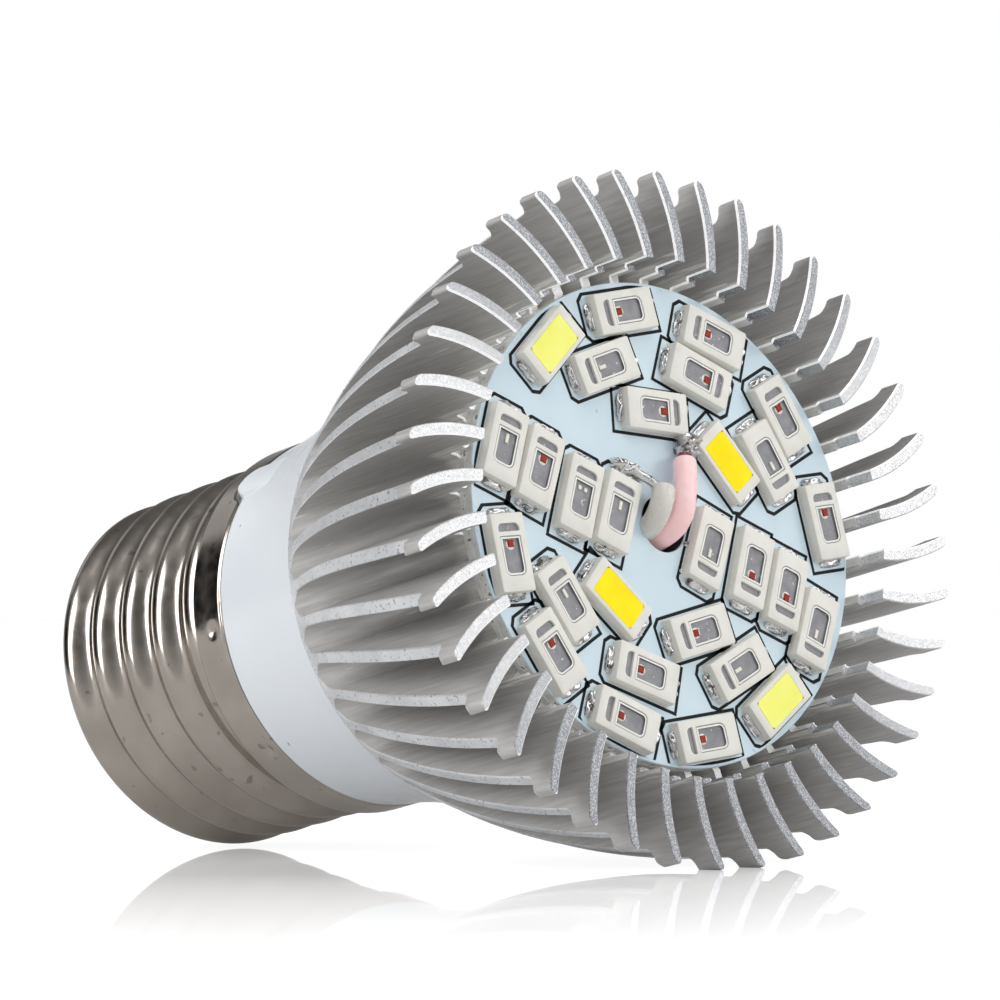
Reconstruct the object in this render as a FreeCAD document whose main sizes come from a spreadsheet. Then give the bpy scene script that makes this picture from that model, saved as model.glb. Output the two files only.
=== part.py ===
import FreeCAD, Part
import math
import os
import Sketcher

# Grow light bulb: a screw cap, a white driver collar, a spiral-finned aluminium heat sink
# and a round board with 28 surface-mount LEDs facing +Z.
# Frame: millimetres, +Z along the bulb's axis towards the light,
# origin at the centre of the cap's open rim, where the collar's shoulder sits.

doc = FreeCAD.newDocument("grow_light_bulb")
sheet = doc.addObject("Spreadsheet::Sheet", "sizes")
pieces = []


# A size is a number together with the sheet expression it comes from,
# so that one line of arithmetic gives both the drawing and its binding.
class Size:
    def __init__(self, value, text):
        self.value = value
        self.text = text

    def __add__(self, other):
        other = as_size(other)
        return Size(self.value + other.value, "(%s + %s)" % (self.text, other.text))

    def __radd__(self, other):
        return as_size(other) + self

    def __sub__(self, other):
        other = as_size(other)
        return Size(self.value - other.value, "(%s - %s)" % (self.text, other.text))

    def __rsub__(self, other):
        return as_size(other) - self

    def __mul__(self, other):
        other = as_size(other)
        return Size(self.value * other.value, "(%s * %s)" % (self.text, other.text))

    def __rmul__(self, other):
        return as_size(other) * self

    def __truediv__(self, other):
        other = as_size(other)
        return Size(self.value / other.value, "(%s / %s)" % (self.text, other.text))

    def __neg__(self):
        return Size(-self.value, "(0 - %s)" % self.text)


def as_size(number):
    if isinstance(number, Size):
        return number
    return Size(float(number), "%r" % float(number))


def cosine(angle):
    angle = as_size(angle)
    return Size(math.cos(math.radians(angle.value)), "cos(%s)" % angle.text)


def sine(angle):
    angle = as_size(angle)
    return Size(math.sin(math.radians(angle.value)), "sin(%s)" % angle.text)


def size(name, value):
    row = len(named) + 1
    sheet.set("A%d" % row, name)
    sheet.set("B%d" % row, str(value))
    sheet.setAlias("B%d" % row, name)
    named.append(name)
    return Size(float(value), "sizes.%s" % name)


named = []

# Screw cap, 27 mm Edison size
skirt_radius = size("skirt_radius", 13.6)
skirt_length = size("skirt_length", 3.2)
skirt_fall = size("skirt_fall", 0.7)
shell_wall = size("shell_wall", 0.45)
crest_step = size("thread_crest_step", 0.5)
thread_depth = size("thread_depth", 0.95)
thread_pitch = size("thread_pitch", 3.629)
thread_turns = size("thread_turns", 4.3)
thread_base = size("thread_base", 3.5)
thread_bite = size("thread_bite", 0.25)
thread_run_out = size("thread_run_out", 2.8)
thread_bearing = size("thread_bearing", 122.8)
nose_height = size("nose_height", 1.75)
nose_turn_in = size("nose_turn_in", 3.55)
contact_radius = size("contact_radius", 4.7)
contact_height = size("contact_height", 1.1)
insulator_height = size("insulator_height", 1.9)
insulator_plug = size("insulator_plug", 2.2)

# Emitters and the rings that they sit on
led_length = size("led_length", 5.3)
led_width = size("led_width", 2.85)
led_height = size("led_height", 0.85)
led_draft = size("led_draft", 0.05)
led_recess = size("led_recess", 0.4)
window_length = size("window_length", 2.35)
window_width = size("window_width", 1.55)
window_shift = size("window_shift", 0.5)
window_corner = size("window_corner", 0.35)
pad_length = size("pad_recess_length", 0.45)
pad_shift = size("pad_recess_shift", 1.3)
phosphor_length = size("phosphor_length", 3.9)
phosphor_width = size("phosphor_width", 2.2)
terminal_length = size("terminal_length", 0.4)
terminal_width = size("terminal_width", 2.0)
terminal_height = size("terminal_height", 0.3)
chip_side = size("chip_side", 0.4)
chip_height = size("chip_height", 0.15)
core_ring = size("core_ring_radius", 4.2)
ring_gap = size("gap_between_rings", 0.65)

# Board
board_margin = size("board_margin", 0.695)
board_clearance = size("board_clearance", 0.13)
board_thickness = size("board_thickness", 1.3)
board_depth = size("board_depth", 2.6)
board_hole_radius = size("board_hole_radius", 1.95)

# Heat sink
front_height = size("front_height", 34.55)
shoulder_radius = size("heat_sink_shoulder_radius", 23.0)
waist_radius = size("heat_sink_waist_radius", 19.55)
waist_rise = size("heat_sink_waist_rise", 7.65)
hip_radius = size("heat_sink_hip_radius", 22.1)
hip_depth = size("heat_sink_hip_depth", 8.0)
lip_radius = size("lip_radius", 24.1)
lip_width = size("lip_width", 1.9)
lip_step = size("lip_step", 0.55)
ledge_width = size("ledge_width", 1.0)
core_wall = size("core_wall", 2.7)
rear_band = size("rear_band_step", 0.75)
fin_count = size("fin_count", 40)
gap_reach = size("gap_reach", 1.4)
gap_undercut = size("gap_undercut", 0.22)
fin_tip_thickness = size("fin_tip_thickness", 1.1)
fin_foot_thickness = size("fin_foot_thickness", 1.26)
fin_sweep = size("fin_sweep", 4.95)
fin_lean = size("fin_lean", 1.98)
fin_curve = size("fin_curve_radius", 12.5)
fin_bearing = size("fin_bearing", 180.5)

# Collar and its sleeve inside the heat sink
collar_length = size("collar_length", 10.9)
collar_rim_radius = size("collar_rim_radius", 13.5)
collar_waist_radius = size("collar_waist_radius", 14.3)
collar_waist_height = size("collar_waist_height", 5.5)
spigot_clearance = size("spigot_clearance", 0.1)
sleeve_gap = size("sleeve_gap", 4.7)
sleeve_clearance = size("sleeve_clearance", 0.15)
sleeve_wall = size("sleeve_wall", 1.6)
lug_width = size("lug_width", 4.0)
lug_length = size("lug_length", 5.5)
lug_depth = size("lug_notch_depth", 1.3)
lug_rise = size("lug_rise", 0.15)
lug_bearing = size("lug_bearing", 220.5)
lug_clearance = size("lug_clearance", 0.12)

# Leads and the driver inside the collar and the sleeve
lead_radius = size("lead_radius", 0.8)
lead_lift = size("lead_lift", 1.4)
conductor_radius = size("conductor_radius", 0.35)
driver_start = size("driver_start", 2.0)
driver_gap = size("driver_gap", 7.6)
driver_thickness = size("driver_thickness", 1.2)
driver_clearance = size("driver_clearance", 0.1)
capacitor_radius = size("capacitor_radius", 4.0)
capacitor_length = size("capacitor_length", 13.0)
core_length = size("transformer_core_length", 9.0)
core_width = size("transformer_core_width", 9.5)
core_height = size("transformer_core_height", 5.8)
winding_radius = size("transformer_winding_radius", 2.6)
component_gap = size("component_gap", 1.0)
rectifier = (size("rectifier_length", 4.6), size("rectifier_depth", 2.4), size("rectifier_height", 4.0))
chip_case = (size("control_chip_length", 4.9), size("control_chip_depth", 1.6), size("control_chip_height", 3.9))
resistor = (size("resistor_side", 2.6), size("resistor_length", 6.0))
wire_radius = size("wire_radius", 0.55)

doc.recompute()

# Places that several pieces share
crest_radius = skirt_radius - crest_step
root_radius = crest_radius - thread_depth
nose_radius = root_radius - nose_turn_in
ring_pitch = led_width + ring_gap
ring_radii = (core_ring + ring_pitch * 3, core_ring + ring_pitch * 2, core_ring + ring_pitch, core_ring)
board_radius = ring_radii[0] + led_width / 2 + board_margin
seat_radius = board_radius + board_clearance
recess_radius = seat_radius + ledge_width
gap_root_radius = board_radius - gap_undercut
bore_radius = gap_root_radius - core_wall
rear_radius = gap_root_radius - rear_band
board_top = front_height - board_depth
board_floor = board_top - board_thickness
spigot_radius = skirt_radius - shell_wall - spigot_clearance
sleeve_radius = bore_radius - sleeve_clearance
sleeve_bore = sleeve_radius - sleeve_wall
thread_start = -(skirt_length + skirt_fall)
thread_end = thread_start - thread_pitch * thread_turns - thread_run_out
shell_end = thread_end - nose_height


def keep(thing, label):
    thing.Label = label
    pieces.append(thing)
    return thing


def bind(thing, field, value):
    thing.setExpression(field, as_size(value).text)


def place(thing, x, y, z, turn=0.0):
    rotation = FreeCAD.Rotation(FreeCAD.Vector(0, 0, 1), as_size(turn).value)
    base = FreeCAD.Vector(as_size(x).value, as_size(y).value, as_size(z).value)
    thing.Placement = FreeCAD.Placement(base, rotation)
    for axis, value in (("x", x), ("y", y), ("z", z)):
        bind(thing, "Placement.Base." + axis, value)


def new_body(label):
    body = doc.addObject("PartDesign::Body", label)
    return keep(body, label)


def origin_plane(body, role):
    for feature in body.Origin.OriginFeatures:
        if feature.Role == role:
            return feature
    raise ValueError(role)


# A closed outline from corner points. Each step is (x, y) for a straight run to that point,
# or (x, y, radius, turn) for an arc of that radius, turn +1 counter-clockwise and -1 clockwise.
def outline(body, name, role, steps):
    sketch = body.newObject("Sketcher::SketchObject", name)
    sketch.AttachmentSupport = [(origin_plane(body, role), "")]
    sketch.MapMode = "FlatFace"
    points = [(as_size(step[0]), as_size(step[1])) for step in steps]
    ends = []
    for index, step in enumerate(steps):
        begin = FreeCAD.Vector(points[index - 1][0].value, points[index - 1][1].value, 0)
        finish = FreeCAD.Vector(points[index][0].value, points[index][1].value, 0)
        if len(step) == 2:
            sketch.addGeometry(Part.LineSegment(begin, finish), False)
            ends.append((1, 2))
        else:
            sketch.addGeometry(arc_between(begin, finish, as_size(step[2]).value, step[3]), False)
            ends.append((1, 2) if step[3] > 0 else (2, 1))
    for index, step in enumerate(steps):
        following = (index + 1) % len(steps)
        sketch.addConstraint(Sketcher.Constraint(
            "Coincident", index, ends[index][1], following, ends[following][0]))
        pin_point(sketch, index, ends[index][1], points[index])
        if len(step) == 4:
            radius = as_size(step[2])
            place_in = sketch.addConstraint(Sketcher.Constraint("Radius", index, radius.value))
            bind(sketch, "Constraints[%d]" % place_in, radius)
    return sketch


def arc_between(begin, finish, radius, turn):
    chord = finish - begin
    half = chord.Length / 2
    rise = math.sqrt(max(radius * radius - half * half, 0.0))
    side = FreeCAD.Vector(-chord.y, chord.x, 0).normalize() * rise * turn
    centre = (begin + finish) * 0.5 + side
    first, last = (begin, finish) if turn > 0 else (finish, begin)
    start = math.atan2(first.y - centre.y, first.x - centre.x)
    stop = math.atan2(last.y - centre.y, last.x - centre.x)
    if stop < start:
        stop += 2 * math.pi
    circle = Part.Circle(centre, FreeCAD.Vector(0, 0, 1), radius)
    return Part.ArcOfCircle(circle, start, stop)


def pin_point(sketch, index, end, point):
    for kind, axis, value in (("DistanceX", -2, point[0]), ("DistanceY", -1, point[1])):
        if value.text == "0.0":
            sketch.addConstraint(Sketcher.Constraint("PointOnObject", index, end, axis))
        else:
            place_in = sketch.addConstraint(Sketcher.Constraint(kind, -1, 1, index, end, value.value))
            bind(sketch, "Constraints[%d]" % place_in, value)


def revolve(body, name, steps):
    sketch = outline(body, name + "_outline", "XZ_Plane", steps)
    turned = body.newObject("PartDesign::Revolution", name)
    turned.Profile = sketch
    turned.ReferenceAxis = (sketch, ["V_Axis"])
    turned.Angle = 360.0
    return turned


def box(name, length, width, height, x, y, z):
    block = doc.addObject("Part::Box", name)
    bind(block, "Length", length)
    bind(block, "Width", width)
    bind(block, "Height", height)
    place(block, x, y, z)
    return block


def cylinder(name, radius, height, x, y, z):
    rod = doc.addObject("Part::Cylinder", name)
    bind(rod, "Radius", radius)
    bind(rod, "Height", height)
    place(rod, x, y, z)
    return rod


def cut(name, base, tool):
    result = doc.addObject("Part::Cut", name)
    result.Base = base
    result.Tool = tool
    return result


def join(name, parts):
    result = doc.addObject("Part::MultiFuse", name)
    result.Shapes = parts
    return result


# Formed brass shell: a plain skirt, a helical thread ridge and a turned-in nose,
# with a round notch in its rim that keys the collar.
def screw_shell():
    body = new_body("screw_shell")
    revolve(body, "shell_wall_turned", [
        (skirt_radius, 0),
        (skirt_radius, -skirt_length),
        (root_radius, thread_start),
        (root_radius, thread_end),
        (nose_radius, shell_end),
        (nose_radius, shell_end + shell_wall),
        (root_radius - shell_wall, thread_end + shell_wall),
        (root_radius - shell_wall, -skirt_length),
        (skirt_radius - shell_wall, -skirt_length + shell_wall),
        (skirt_radius - shell_wall, 0),
    ])
    ridge_length = thread_pitch * thread_turns
    ridge_foot = -skirt_length - thread_base / 2 - ridge_length
    profile = outline(body, "ridge_outline", "XZ_Plane", [
        (root_radius - thread_bite, ridge_foot - thread_base / 2),
        (crest_radius, ridge_foot),
        (root_radius - thread_bite, ridge_foot + thread_base / 2),
    ])
    ridge = body.newObject("PartDesign::AdditiveHelix", "thread_ridge")
    ridge.Profile = profile
    ridge.ReferenceAxis = (profile, ["V_Axis"])
    ridge.Mode = 0
    bind(ridge, "Pitch", thread_pitch)
    bind(ridge, "Height", ridge_length)
    body.Tip = ridge
    doc.recompute()
    reach = lug_width / 2 + lug_clearance
    middle = lug_width / 2 - lug_depth
    notch = outline(body, "rim_notch_outline", "XZ_Plane", [
        (reach, middle, reach, 1),
        (reach, lug_depth),
        (-reach, lug_depth),
        (-reach, middle),
        (0, middle - reach, reach, 1),
    ])
    turn_sketch(notch, lug_bearing + 90.0 - thread_bearing)
    pocket = body.newObject("PartDesign::Pocket", "rim_notch")
    pocket.Profile = notch
    pocket.Type = 0
    bind(pocket, "Length", skirt_radius * 2)
    pocket.Reversed = True
    body.Tip = pocket
    turn_body(body, thread_bearing)
    return body


# Turns the plane of a sketch that stands upright about the bulb's axis
def turn_sketch(sketch, bearing):
    sketch.AttachmentOffset = FreeCAD.Placement(
        FreeCAD.Vector(0, 0, 0), FreeCAD.Rotation(FreeCAD.Vector(0, 1, 0), bearing.value))
    bind(sketch, "AttachmentOffset.Rotation.Angle", bearing)


def turn_body(body, bearing):
    body.Placement = FreeCAD.Placement(
        FreeCAD.Vector(0, 0, 0), FreeCAD.Rotation(FreeCAD.Vector(0, 0, 1), bearing.value))
    bind(body, "Placement.Rotation.Angle", bearing)


# Insulating glass in the shell's nose, with the hole of the centre wire
def cap_insulator():
    body = new_body("cap_insulator")
    revolve(body, "insulator_turned", [
        (wire_radius, shell_end + insulator_plug),
        (wire_radius, shell_end - insulator_height),
        (contact_radius, shell_end - insulator_height),
        (nose_radius, shell_end),
        (nose_radius, shell_end + insulator_plug),
    ])


# Domed centre contact under the insulator
def centre_contact():
    body = new_body("centre_contact")
    top = shell_end - insulator_height
    revolve(body, "contact_turned", [
        (0, top),
        (0, top - contact_height),
        (contact_radius / 2, top - contact_height),
        (contact_radius, top - contact_height / 3),
        (contact_radius, top),
    ])


# White moulded collar: spigot in the cap, flared band, sleeve in the heat sink, and the keying lug
def collar():
    body = new_body("collar")
    spigot_foot = -skirt_length + shell_wall + spigot_clearance
    sleeve_end = board_floor - sleeve_gap
    revolve(body, "collar_turned", [
        (collar_rim_radius, 0),
        (collar_waist_radius, collar_waist_height),
        (rear_radius, collar_length),
        (sleeve_radius, collar_length),
        (sleeve_radius, sleeve_end),
        (sleeve_bore, sleeve_end),
        (sleeve_bore, spigot_foot),
        (spigot_radius, spigot_foot),
        (spigot_radius, 0),
    ])
    half = lug_width / 2
    lug = outline(body, "lug_outline", "XZ_Plane", [
        (half, half - lug_depth, half, 1),
        (half, lug_length),
        (0, lug_length + half, half, 1),
        (-half, lug_length, half, 1),
        (-half, half - lug_depth),
        (0, -lug_depth, half, 1),
    ])
    pad = body.newObject("PartDesign::Pad", "lug_raised")
    pad.Profile = lug
    pad.Type = 0
    bind(pad, "Length", collar_rim_radius + lug_rise)
    body.Tip = pad
    bore = outline(body, "bore_clearing_outline", "XZ_Plane", [
        (0, spigot_foot),
        (sleeve_bore, spigot_foot),
        (sleeve_bore, collar_length),
        (0, collar_length),
    ])
    groove = body.newObject("PartDesign::Groove", "bore_clearing")
    groove.Profile = bore
    groove.ReferenceAxis = (bore, ["V_Axis"])
    groove.Angle = 360.0
    body.Tip = groove
    turn_body(body, lug_bearing + 90.0)
    return body


# Extruded and turned heat sink: 40 curved fins, a step behind the lip,
# and a front recess with a ledge and the board's seat.
def heat_sink():
    body = new_body("heat_sink")
    lip_back = front_height - lip_width
    ledge_height = board_top + board_clearance / 2
    revolve(body, "blank_turned", [
        (rear_radius, collar_length),
        (waist_radius, collar_length + waist_rise),
        (hip_radius, front_height - hip_depth),
        (shoulder_radius, lip_back - lip_step),
        (lip_radius, lip_back),
        (lip_radius, front_height),
        (recess_radius, front_height),
        (recess_radius, ledge_height),
        (seat_radius, ledge_height),
        (seat_radius, board_floor),
        (bore_radius, board_floor),
        (bore_radius, collar_length),
    ])
    pitch = as_size(360.0) / fin_count
    outer = lip_radius + gap_reach
    degrees = 180.0 / math.pi
    tip_half = fin_tip_thickness / 2 / outer * degrees
    foot_half = fin_foot_thickness / 2 / gap_root_radius * degrees
    near_tip = fin_lean + tip_half
    far_tip = fin_lean + pitch - tip_half
    near_foot = foot_half - fin_sweep
    far_foot = pitch - foot_half - fin_sweep
    gap = outline(body, "gap_outline", "XY_Plane", [
        (outer * cosine(far_tip), outer * sine(far_tip)),
        (gap_root_radius * cosine(far_foot), gap_root_radius * sine(far_foot),
         fin_curve + fin_foot_thickness / 2, -1),
        (gap_root_radius * cosine(near_foot), gap_root_radius * sine(near_foot)),
        (outer * cosine(near_tip), outer * sine(near_tip), fin_curve - fin_foot_thickness / 2, 1),
    ])
    pocket = body.newObject("PartDesign::Pocket", "gap_cut")
    pocket.Profile = gap
    pocket.Type = 0
    bind(pocket, "Length", front_height * 2)
    pocket.Reversed = True
    body.Tip = pocket
    doc.recompute()
    pattern = body.newObject("PartDesign::PolarPattern", "gaps_around")
    pattern.Originals = [pocket]
    pattern.Axis = (gap, ["N_Axis"])
    pattern.Angle = 360.0
    bind(pattern, "Occurrences", fin_count)
    body.Tip = pattern
    turn_body(body, fin_bearing)
    return body


def led_board():
    disc = cylinder("board_disc", board_radius, board_thickness, 0, 0, board_floor)
    hole = cylinder("board_hole", board_hole_radius, board_thickness * 3, 0, 0, board_floor - board_thickness)
    keep(cut("led_board", disc, hole), "led_board")


# Where the emitters sit, ring by ring: bearing in degrees, how far outside its ring's circle,
# the direction in which the wire-pad end points, and the kind.
emitters = (
    (
        (-151, 0.0, -55, "lemon"), (180, 0.0, -87, "red"), (148, -0.2, -118, "red"),
        (117, -0.65, -160, "red"), (85, -0.1, -179, "red"), (53, -0.4, -32, "blue"),
        (26, -0.1, -62, "lemon"), (-3, 0.2, -89, "red"), (-31, 0.2, -120, "red"),
        (-59, 0.1, -157, "red"), (-87, 0.0, 178, "red"), (-116, 0.0, 151, "blue"),
    ),
    (
        (-166, 0.2, -79, "blue"), (150, 0.0, 60, "red"), (108, -0.3, 20, "blue"),
        (59, -0.2, -29, "red"), (19, -0.1, -71, "blue"), (-27, -0.1, -116, "red"),
        (-68, 0.3, -157, "blue"), (-114, 0.3, 149, "red"),
    ),
    (
        (173, 0.0, 79, "red"), (119, -0.3, 31, "golden"), (60, 0.0, -29, "red"),
        (5, 0.0, -83, "red"), (-53, 0.1, 39, "golden"), (-108, 0.2, 151, "blue"),
    ),
    (
        (-104, 0.4, 150, "blue"), (56, -0.4, -32, "blue"),
    ),
)


def led_housing(number, kind):
    name = "led_%02d" % number
    base_x = led_length / 2 + led_draft
    base_y = led_width / 2 + led_draft
    body = doc.addObject("Part::Wedge", name + "_body")
    for field, value in (
        ("Xmin", -base_x), ("Xmax", base_x), ("Zmin", -base_y), ("Zmax", base_y),
        ("Ymin", 0), ("Ymax", led_height),
        ("X2min", -led_length / 2), ("X2max", led_length / 2),
        ("Z2min", -led_width / 2), ("Z2max", led_width / 2),
    ):
        bind(body, field, value)
    body.Placement = FreeCAD.Placement(
        FreeCAD.Vector(0, 0, 0), FreeCAD.Rotation(FreeCAD.Vector(1, 0, 0), 90))
    floor = led_height - led_recess
    if kind in ("lemon", "golden"):
        tool = box(name + "_well", phosphor_length, phosphor_width, led_recess * 2,
                   -phosphor_length / 2, -phosphor_width / 2, floor)
        return cut(name + "_form", body, tool)
    window = box(name + "_window_block", window_length, window_width, led_recess * 2,
                 -window_length / 2 - window_shift, -window_width / 2, floor)
    doc.recompute()
    rounded = doc.addObject("Part::Chamfer", name + "_window")
    rounded.Base = window
    upright = [number + 1 for number, edge in enumerate(window.Shape.Edges)
               if abs(edge.tangentAt(edge.FirstParameter).z) > 0.9]
    rounded.Edges = [(edge, window_corner.value, window_corner.value) for edge in upright]
    pad = box(name + "_pad", pad_length, window_width, led_recess * 2,
              pad_shift, -window_width / 2, floor)
    return cut(name + "_form", body, join(name + "_wells", [rounded, pad]))


def emitter_place(ring, bearing, out):
    return (ring + out) * cosine(bearing), (ring + out) * sine(bearing)


def leds():
    number = 0
    for ring, row in zip(ring_radii, emitters):
        for bearing, out, turn, kind in row:
            number += 1
            form = led_housing(number, kind)
            x, y = emitter_place(ring, bearing, out)
            place(form, x, y, board_top, turn)
            keep(form, "led_%02d" % number)


# The same small blocks on every emitter of the kinds named, gathered in one group.
# Each block's place on its emitter is kept beside it.
block_offsets = {}


def emitter_group(label, kinds, blocks_of):
    solids = []
    number = 0
    for ring, row in zip(ring_radii, emitters):
        for bearing, out, turn, kind in row:
            number += 1
            if kind not in kinds:
                continue
            x, y = emitter_place(ring, bearing, out)
            for block in blocks_of("%s_%02d" % (label, number)):
                block_x, block_y, block_z = block_offsets[block.Name]
                turned_x = x + cosine(turn) * block_x - sine(turn) * block_y
                turned_y = y + sine(turn) * block_x + cosine(turn) * block_y
                place(block, turned_x, turned_y, block_z, turn)
                solids.append(block)
    group = doc.addObject("Part::Compound", label)
    group.Links = solids
    keep(group, label)


def small_block(name, length, width, height, centre_x, floor):
    block = doc.addObject("Part::Box", name)
    bind(block, "Length", length)
    bind(block, "Width", width)
    bind(block, "Height", height)
    block_offsets[block.Name] = (centre_x - length / 2, -as_size(width) / 2, floor)
    return block


def terminal_blocks(name):
    side = led_length / 2 + led_draft + terminal_length / 2
    return [
        small_block(name + "_near", terminal_length, terminal_width, terminal_height, side, board_top),
        small_block(name + "_far", terminal_length, terminal_width, terminal_height, -side, board_top),
    ]


def chip_blocks(name):
    floor = board_top + led_height - led_recess
    centre = window_length / 2 - window_shift - chip_side
    return [small_block(name + "_chip", chip_side, chip_side, chip_height, centre, floor)]


def phosphor_blocks(name):
    floor = board_top + led_height - led_recess
    return [small_block(name + "_fill", phosphor_length, phosphor_width, led_recess, as_size(0), floor)]


# A round lead along straight runs joined by tangent arcs.
# Its volume is compared with its section times its length.
def tube(label, points, radii, radius):
    vectors = [FreeCAD.Vector(*[as_size(value).value for value in point]) for point in points]
    edges = []
    begin = vectors[0]
    for index in range(1, len(vectors) - 1):
        corner = vectors[index]
        back = (vectors[index - 1] - corner).normalize()
        ahead = (vectors[index + 1] - corner).normalize()
        half = back.getAngle(ahead) / 2
        reach = radii[index - 1] / math.tan(half)
        middle = (back + ahead).normalize()
        centre = corner + middle * (radii[index - 1] / math.sin(half))
        first = corner + back * reach
        last = corner + ahead * reach
        edges.append(Part.LineSegment(begin, first).toShape())
        edges.append(Part.Arc(first, centre - middle * radii[index - 1], last).toShape())
        begin = last
    edges.append(Part.LineSegment(begin, vectors[-1]).toShape())
    path = Part.Wire(edges)
    circle = Part.Circle(vectors[0], vectors[1] - vectors[0], radius.value)
    section = Part.Wire([circle.toShape()])
    solid = path.makePipeShell([section], True, False)
    expected = math.pi * radius.value ** 2 * path.Length
    print("%s: length %.2f, bend radii %s, radius %.2f, volume %.3f against %.3f" % (
        label, path.Length, radii, radius.value, solid.Volume, expected))
    if abs(solid.Volume / expected - 1) > 0.01:
        raise RuntimeError("lead not swept whole: " + label)
    return solid


def shaped(label, shape):
    feature = doc.addObject("Part::Feature", label)
    feature.Shape = shape
    feature.Placement = FreeCAD.Placement()
    keep(feature, label)
    return feature


# The two leads come up through the board's centre hole and bend over to their solder joints.
# Places are from the axis, in the board's plane.
pink_hole = (0.8, 0.4)
pink_end = (-4.1, 2.2)
pink_joint = (-5.05, 2.55)
pink_joint_turn = -20.0
pink_joint_length = 1.3
pink_joint_width = 1.2
pink_bend = 1.9
white_hole = (-0.2, -1.0)
white_end = (-2.5, -0.6)
white_joint = (-4.1, -2.35)
white_joint_turn = 61.0
white_joint_length = 2.6
white_joint_width = 0.8
white_bend = 1.5
joint_height = 0.75


def leads():
    foot = board_floor - driver_gap
    bend_height = board_top + lead_lift
    made = []
    for label, hole, end, bend in (
        ("lead_pink", pink_hole, pink_end, pink_bend), ("lead_white", white_hole, white_end, white_bend),
    ):
        points = [(*hole, foot), (*hole, bend_height), (*end, bend_height)]
        made.append(shaped(label, tube(label, points, [bend], lead_radius)))
    return made


# A flat bead of solder at each lead's end, with the bare conductor that it holds
def solder_joints(pink_lead, white_lead):
    beads = []
    for end, joint, turn, length, width, lead in (
        (pink_end, pink_joint, pink_joint_turn, pink_joint_length, pink_joint_width, pink_lead),
        (white_end, white_joint, white_joint_turn, white_joint_length, white_joint_width, white_lead),
    ):
        middle = FreeCAD.Vector(*joint, board_top.value)
        bead = Part.makeBox(length, width, joint_height, middle - FreeCAD.Vector(length / 2, width / 2, 0))
        bead.rotate(middle, FreeCAD.Vector(0, 0, 1), turn)
        start = FreeCAD.Vector(*end, (board_top + lead_lift).value)
        finish = middle + FreeCAD.Vector(0, 0, joint_height / 2)
        strand = Part.makeCylinder(conductor_radius.value, (finish - start).Length, start, finish - start)
        beads.append(bead.fuse(strand).cut(lead.Shape))
    shaped("solder_joints", Part.makeCompound(beads))


# Driver: an upright board across the sleeve's bore, with its larger components
def driver():
    half_width = sleeve_bore - driver_clearance
    length = board_floor - driver_gap + driver_start
    keep(box("driver_board", half_width * 2, driver_thickness, length,
             -half_width, -driver_thickness / 2, -driver_start), "driver_board")
    face = driver_thickness / 2
    keep(cylinder("bulk_capacitor", capacitor_radius, capacitor_length,
                  component_gap + capacitor_radius, face + capacitor_radius, component_gap), "bulk_capacitor")
    core = box("core_block", core_width, core_height, core_length,
               -core_width - component_gap / 2, face, component_gap * 9)
    winding = cylinder("winding", winding_radius, core_length + component_gap * 2,
                       -core_width / 2 - component_gap / 2, face + core_height / 2, component_gap * 8)
    keep(join("transformer", [core, winding]), "transformer")
    keep(box("bridge_rectifier", *rectifier, -core_width + component_gap, -face - rectifier[1], component_gap),
         "bridge_rectifier")
    keep(box("control_chip", *chip_case, component_gap, -face - chip_case[1], component_gap * 12), "control_chip")
    keep(box("fuse_resistor", resistor[0], resistor[0], resistor[1],
             -core_width + component_gap, face, component_gap), "fuse_resistor")


# Straight wires from the driver's foot to the centre contact and to the shell's wall
def wires():
    contact_top = shell_end - insulator_height
    keep(cylinder("contact_wire", wire_radius, -driver_start - contact_top, 0, 0, contact_top), "contact_wire")
    beside_wall = root_radius - shell_wall - driver_clearance - wire_radius
    reach = thread_pitch * 2
    keep(cylinder("shell_wire", wire_radius, reach, beside_wall, 0, -driver_start - reach), "shell_wire")


screw_shell()
cap_insulator()
centre_contact()
collar()
heat_sink()
led_board()
leds()
emitter_group("led_terminals", ("red", "blue", "lemon", "golden"), terminal_blocks)
emitter_group("red_chips", ("red",), chip_blocks)
emitter_group("blue_chips", ("blue",), chip_blocks)
emitter_group("lemon_phosphor", ("lemon",), phosphor_blocks)
emitter_group("golden_phosphor", ("golden",), phosphor_blocks)
solder_joints(*leads())
driver()
wires()
doc.recompute()

for thing in doc.Objects:
    if "Invalid" in thing.State or "Error" in thing.State:
        raise RuntimeError("failed: %s %s" % (thing.Name, thing.State))
for piece in pieces:
    if piece.Shape.isNull() or not piece.Shape.isValid():
        raise RuntimeError("bad shape: %s" % piece.Label)

os.makedirs("parts", exist_ok=True)
for piece in pieces:
    piece.Shape.exportStep("parts/%s.step" % piece.Label)
    extent = piece.Shape.BoundBox
    print("%-18s %2d solid(s)  %8.2f mm3  z %.2f to %.2f" % (
        piece.Label, len(piece.Shape.Solids), piece.Shape.Volume, extent.ZMin, extent.ZMax))
print(len(pieces), "pieces")
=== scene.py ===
import bpy
import math
import numpy as np
from mathutils import Matrix, Vector


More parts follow.
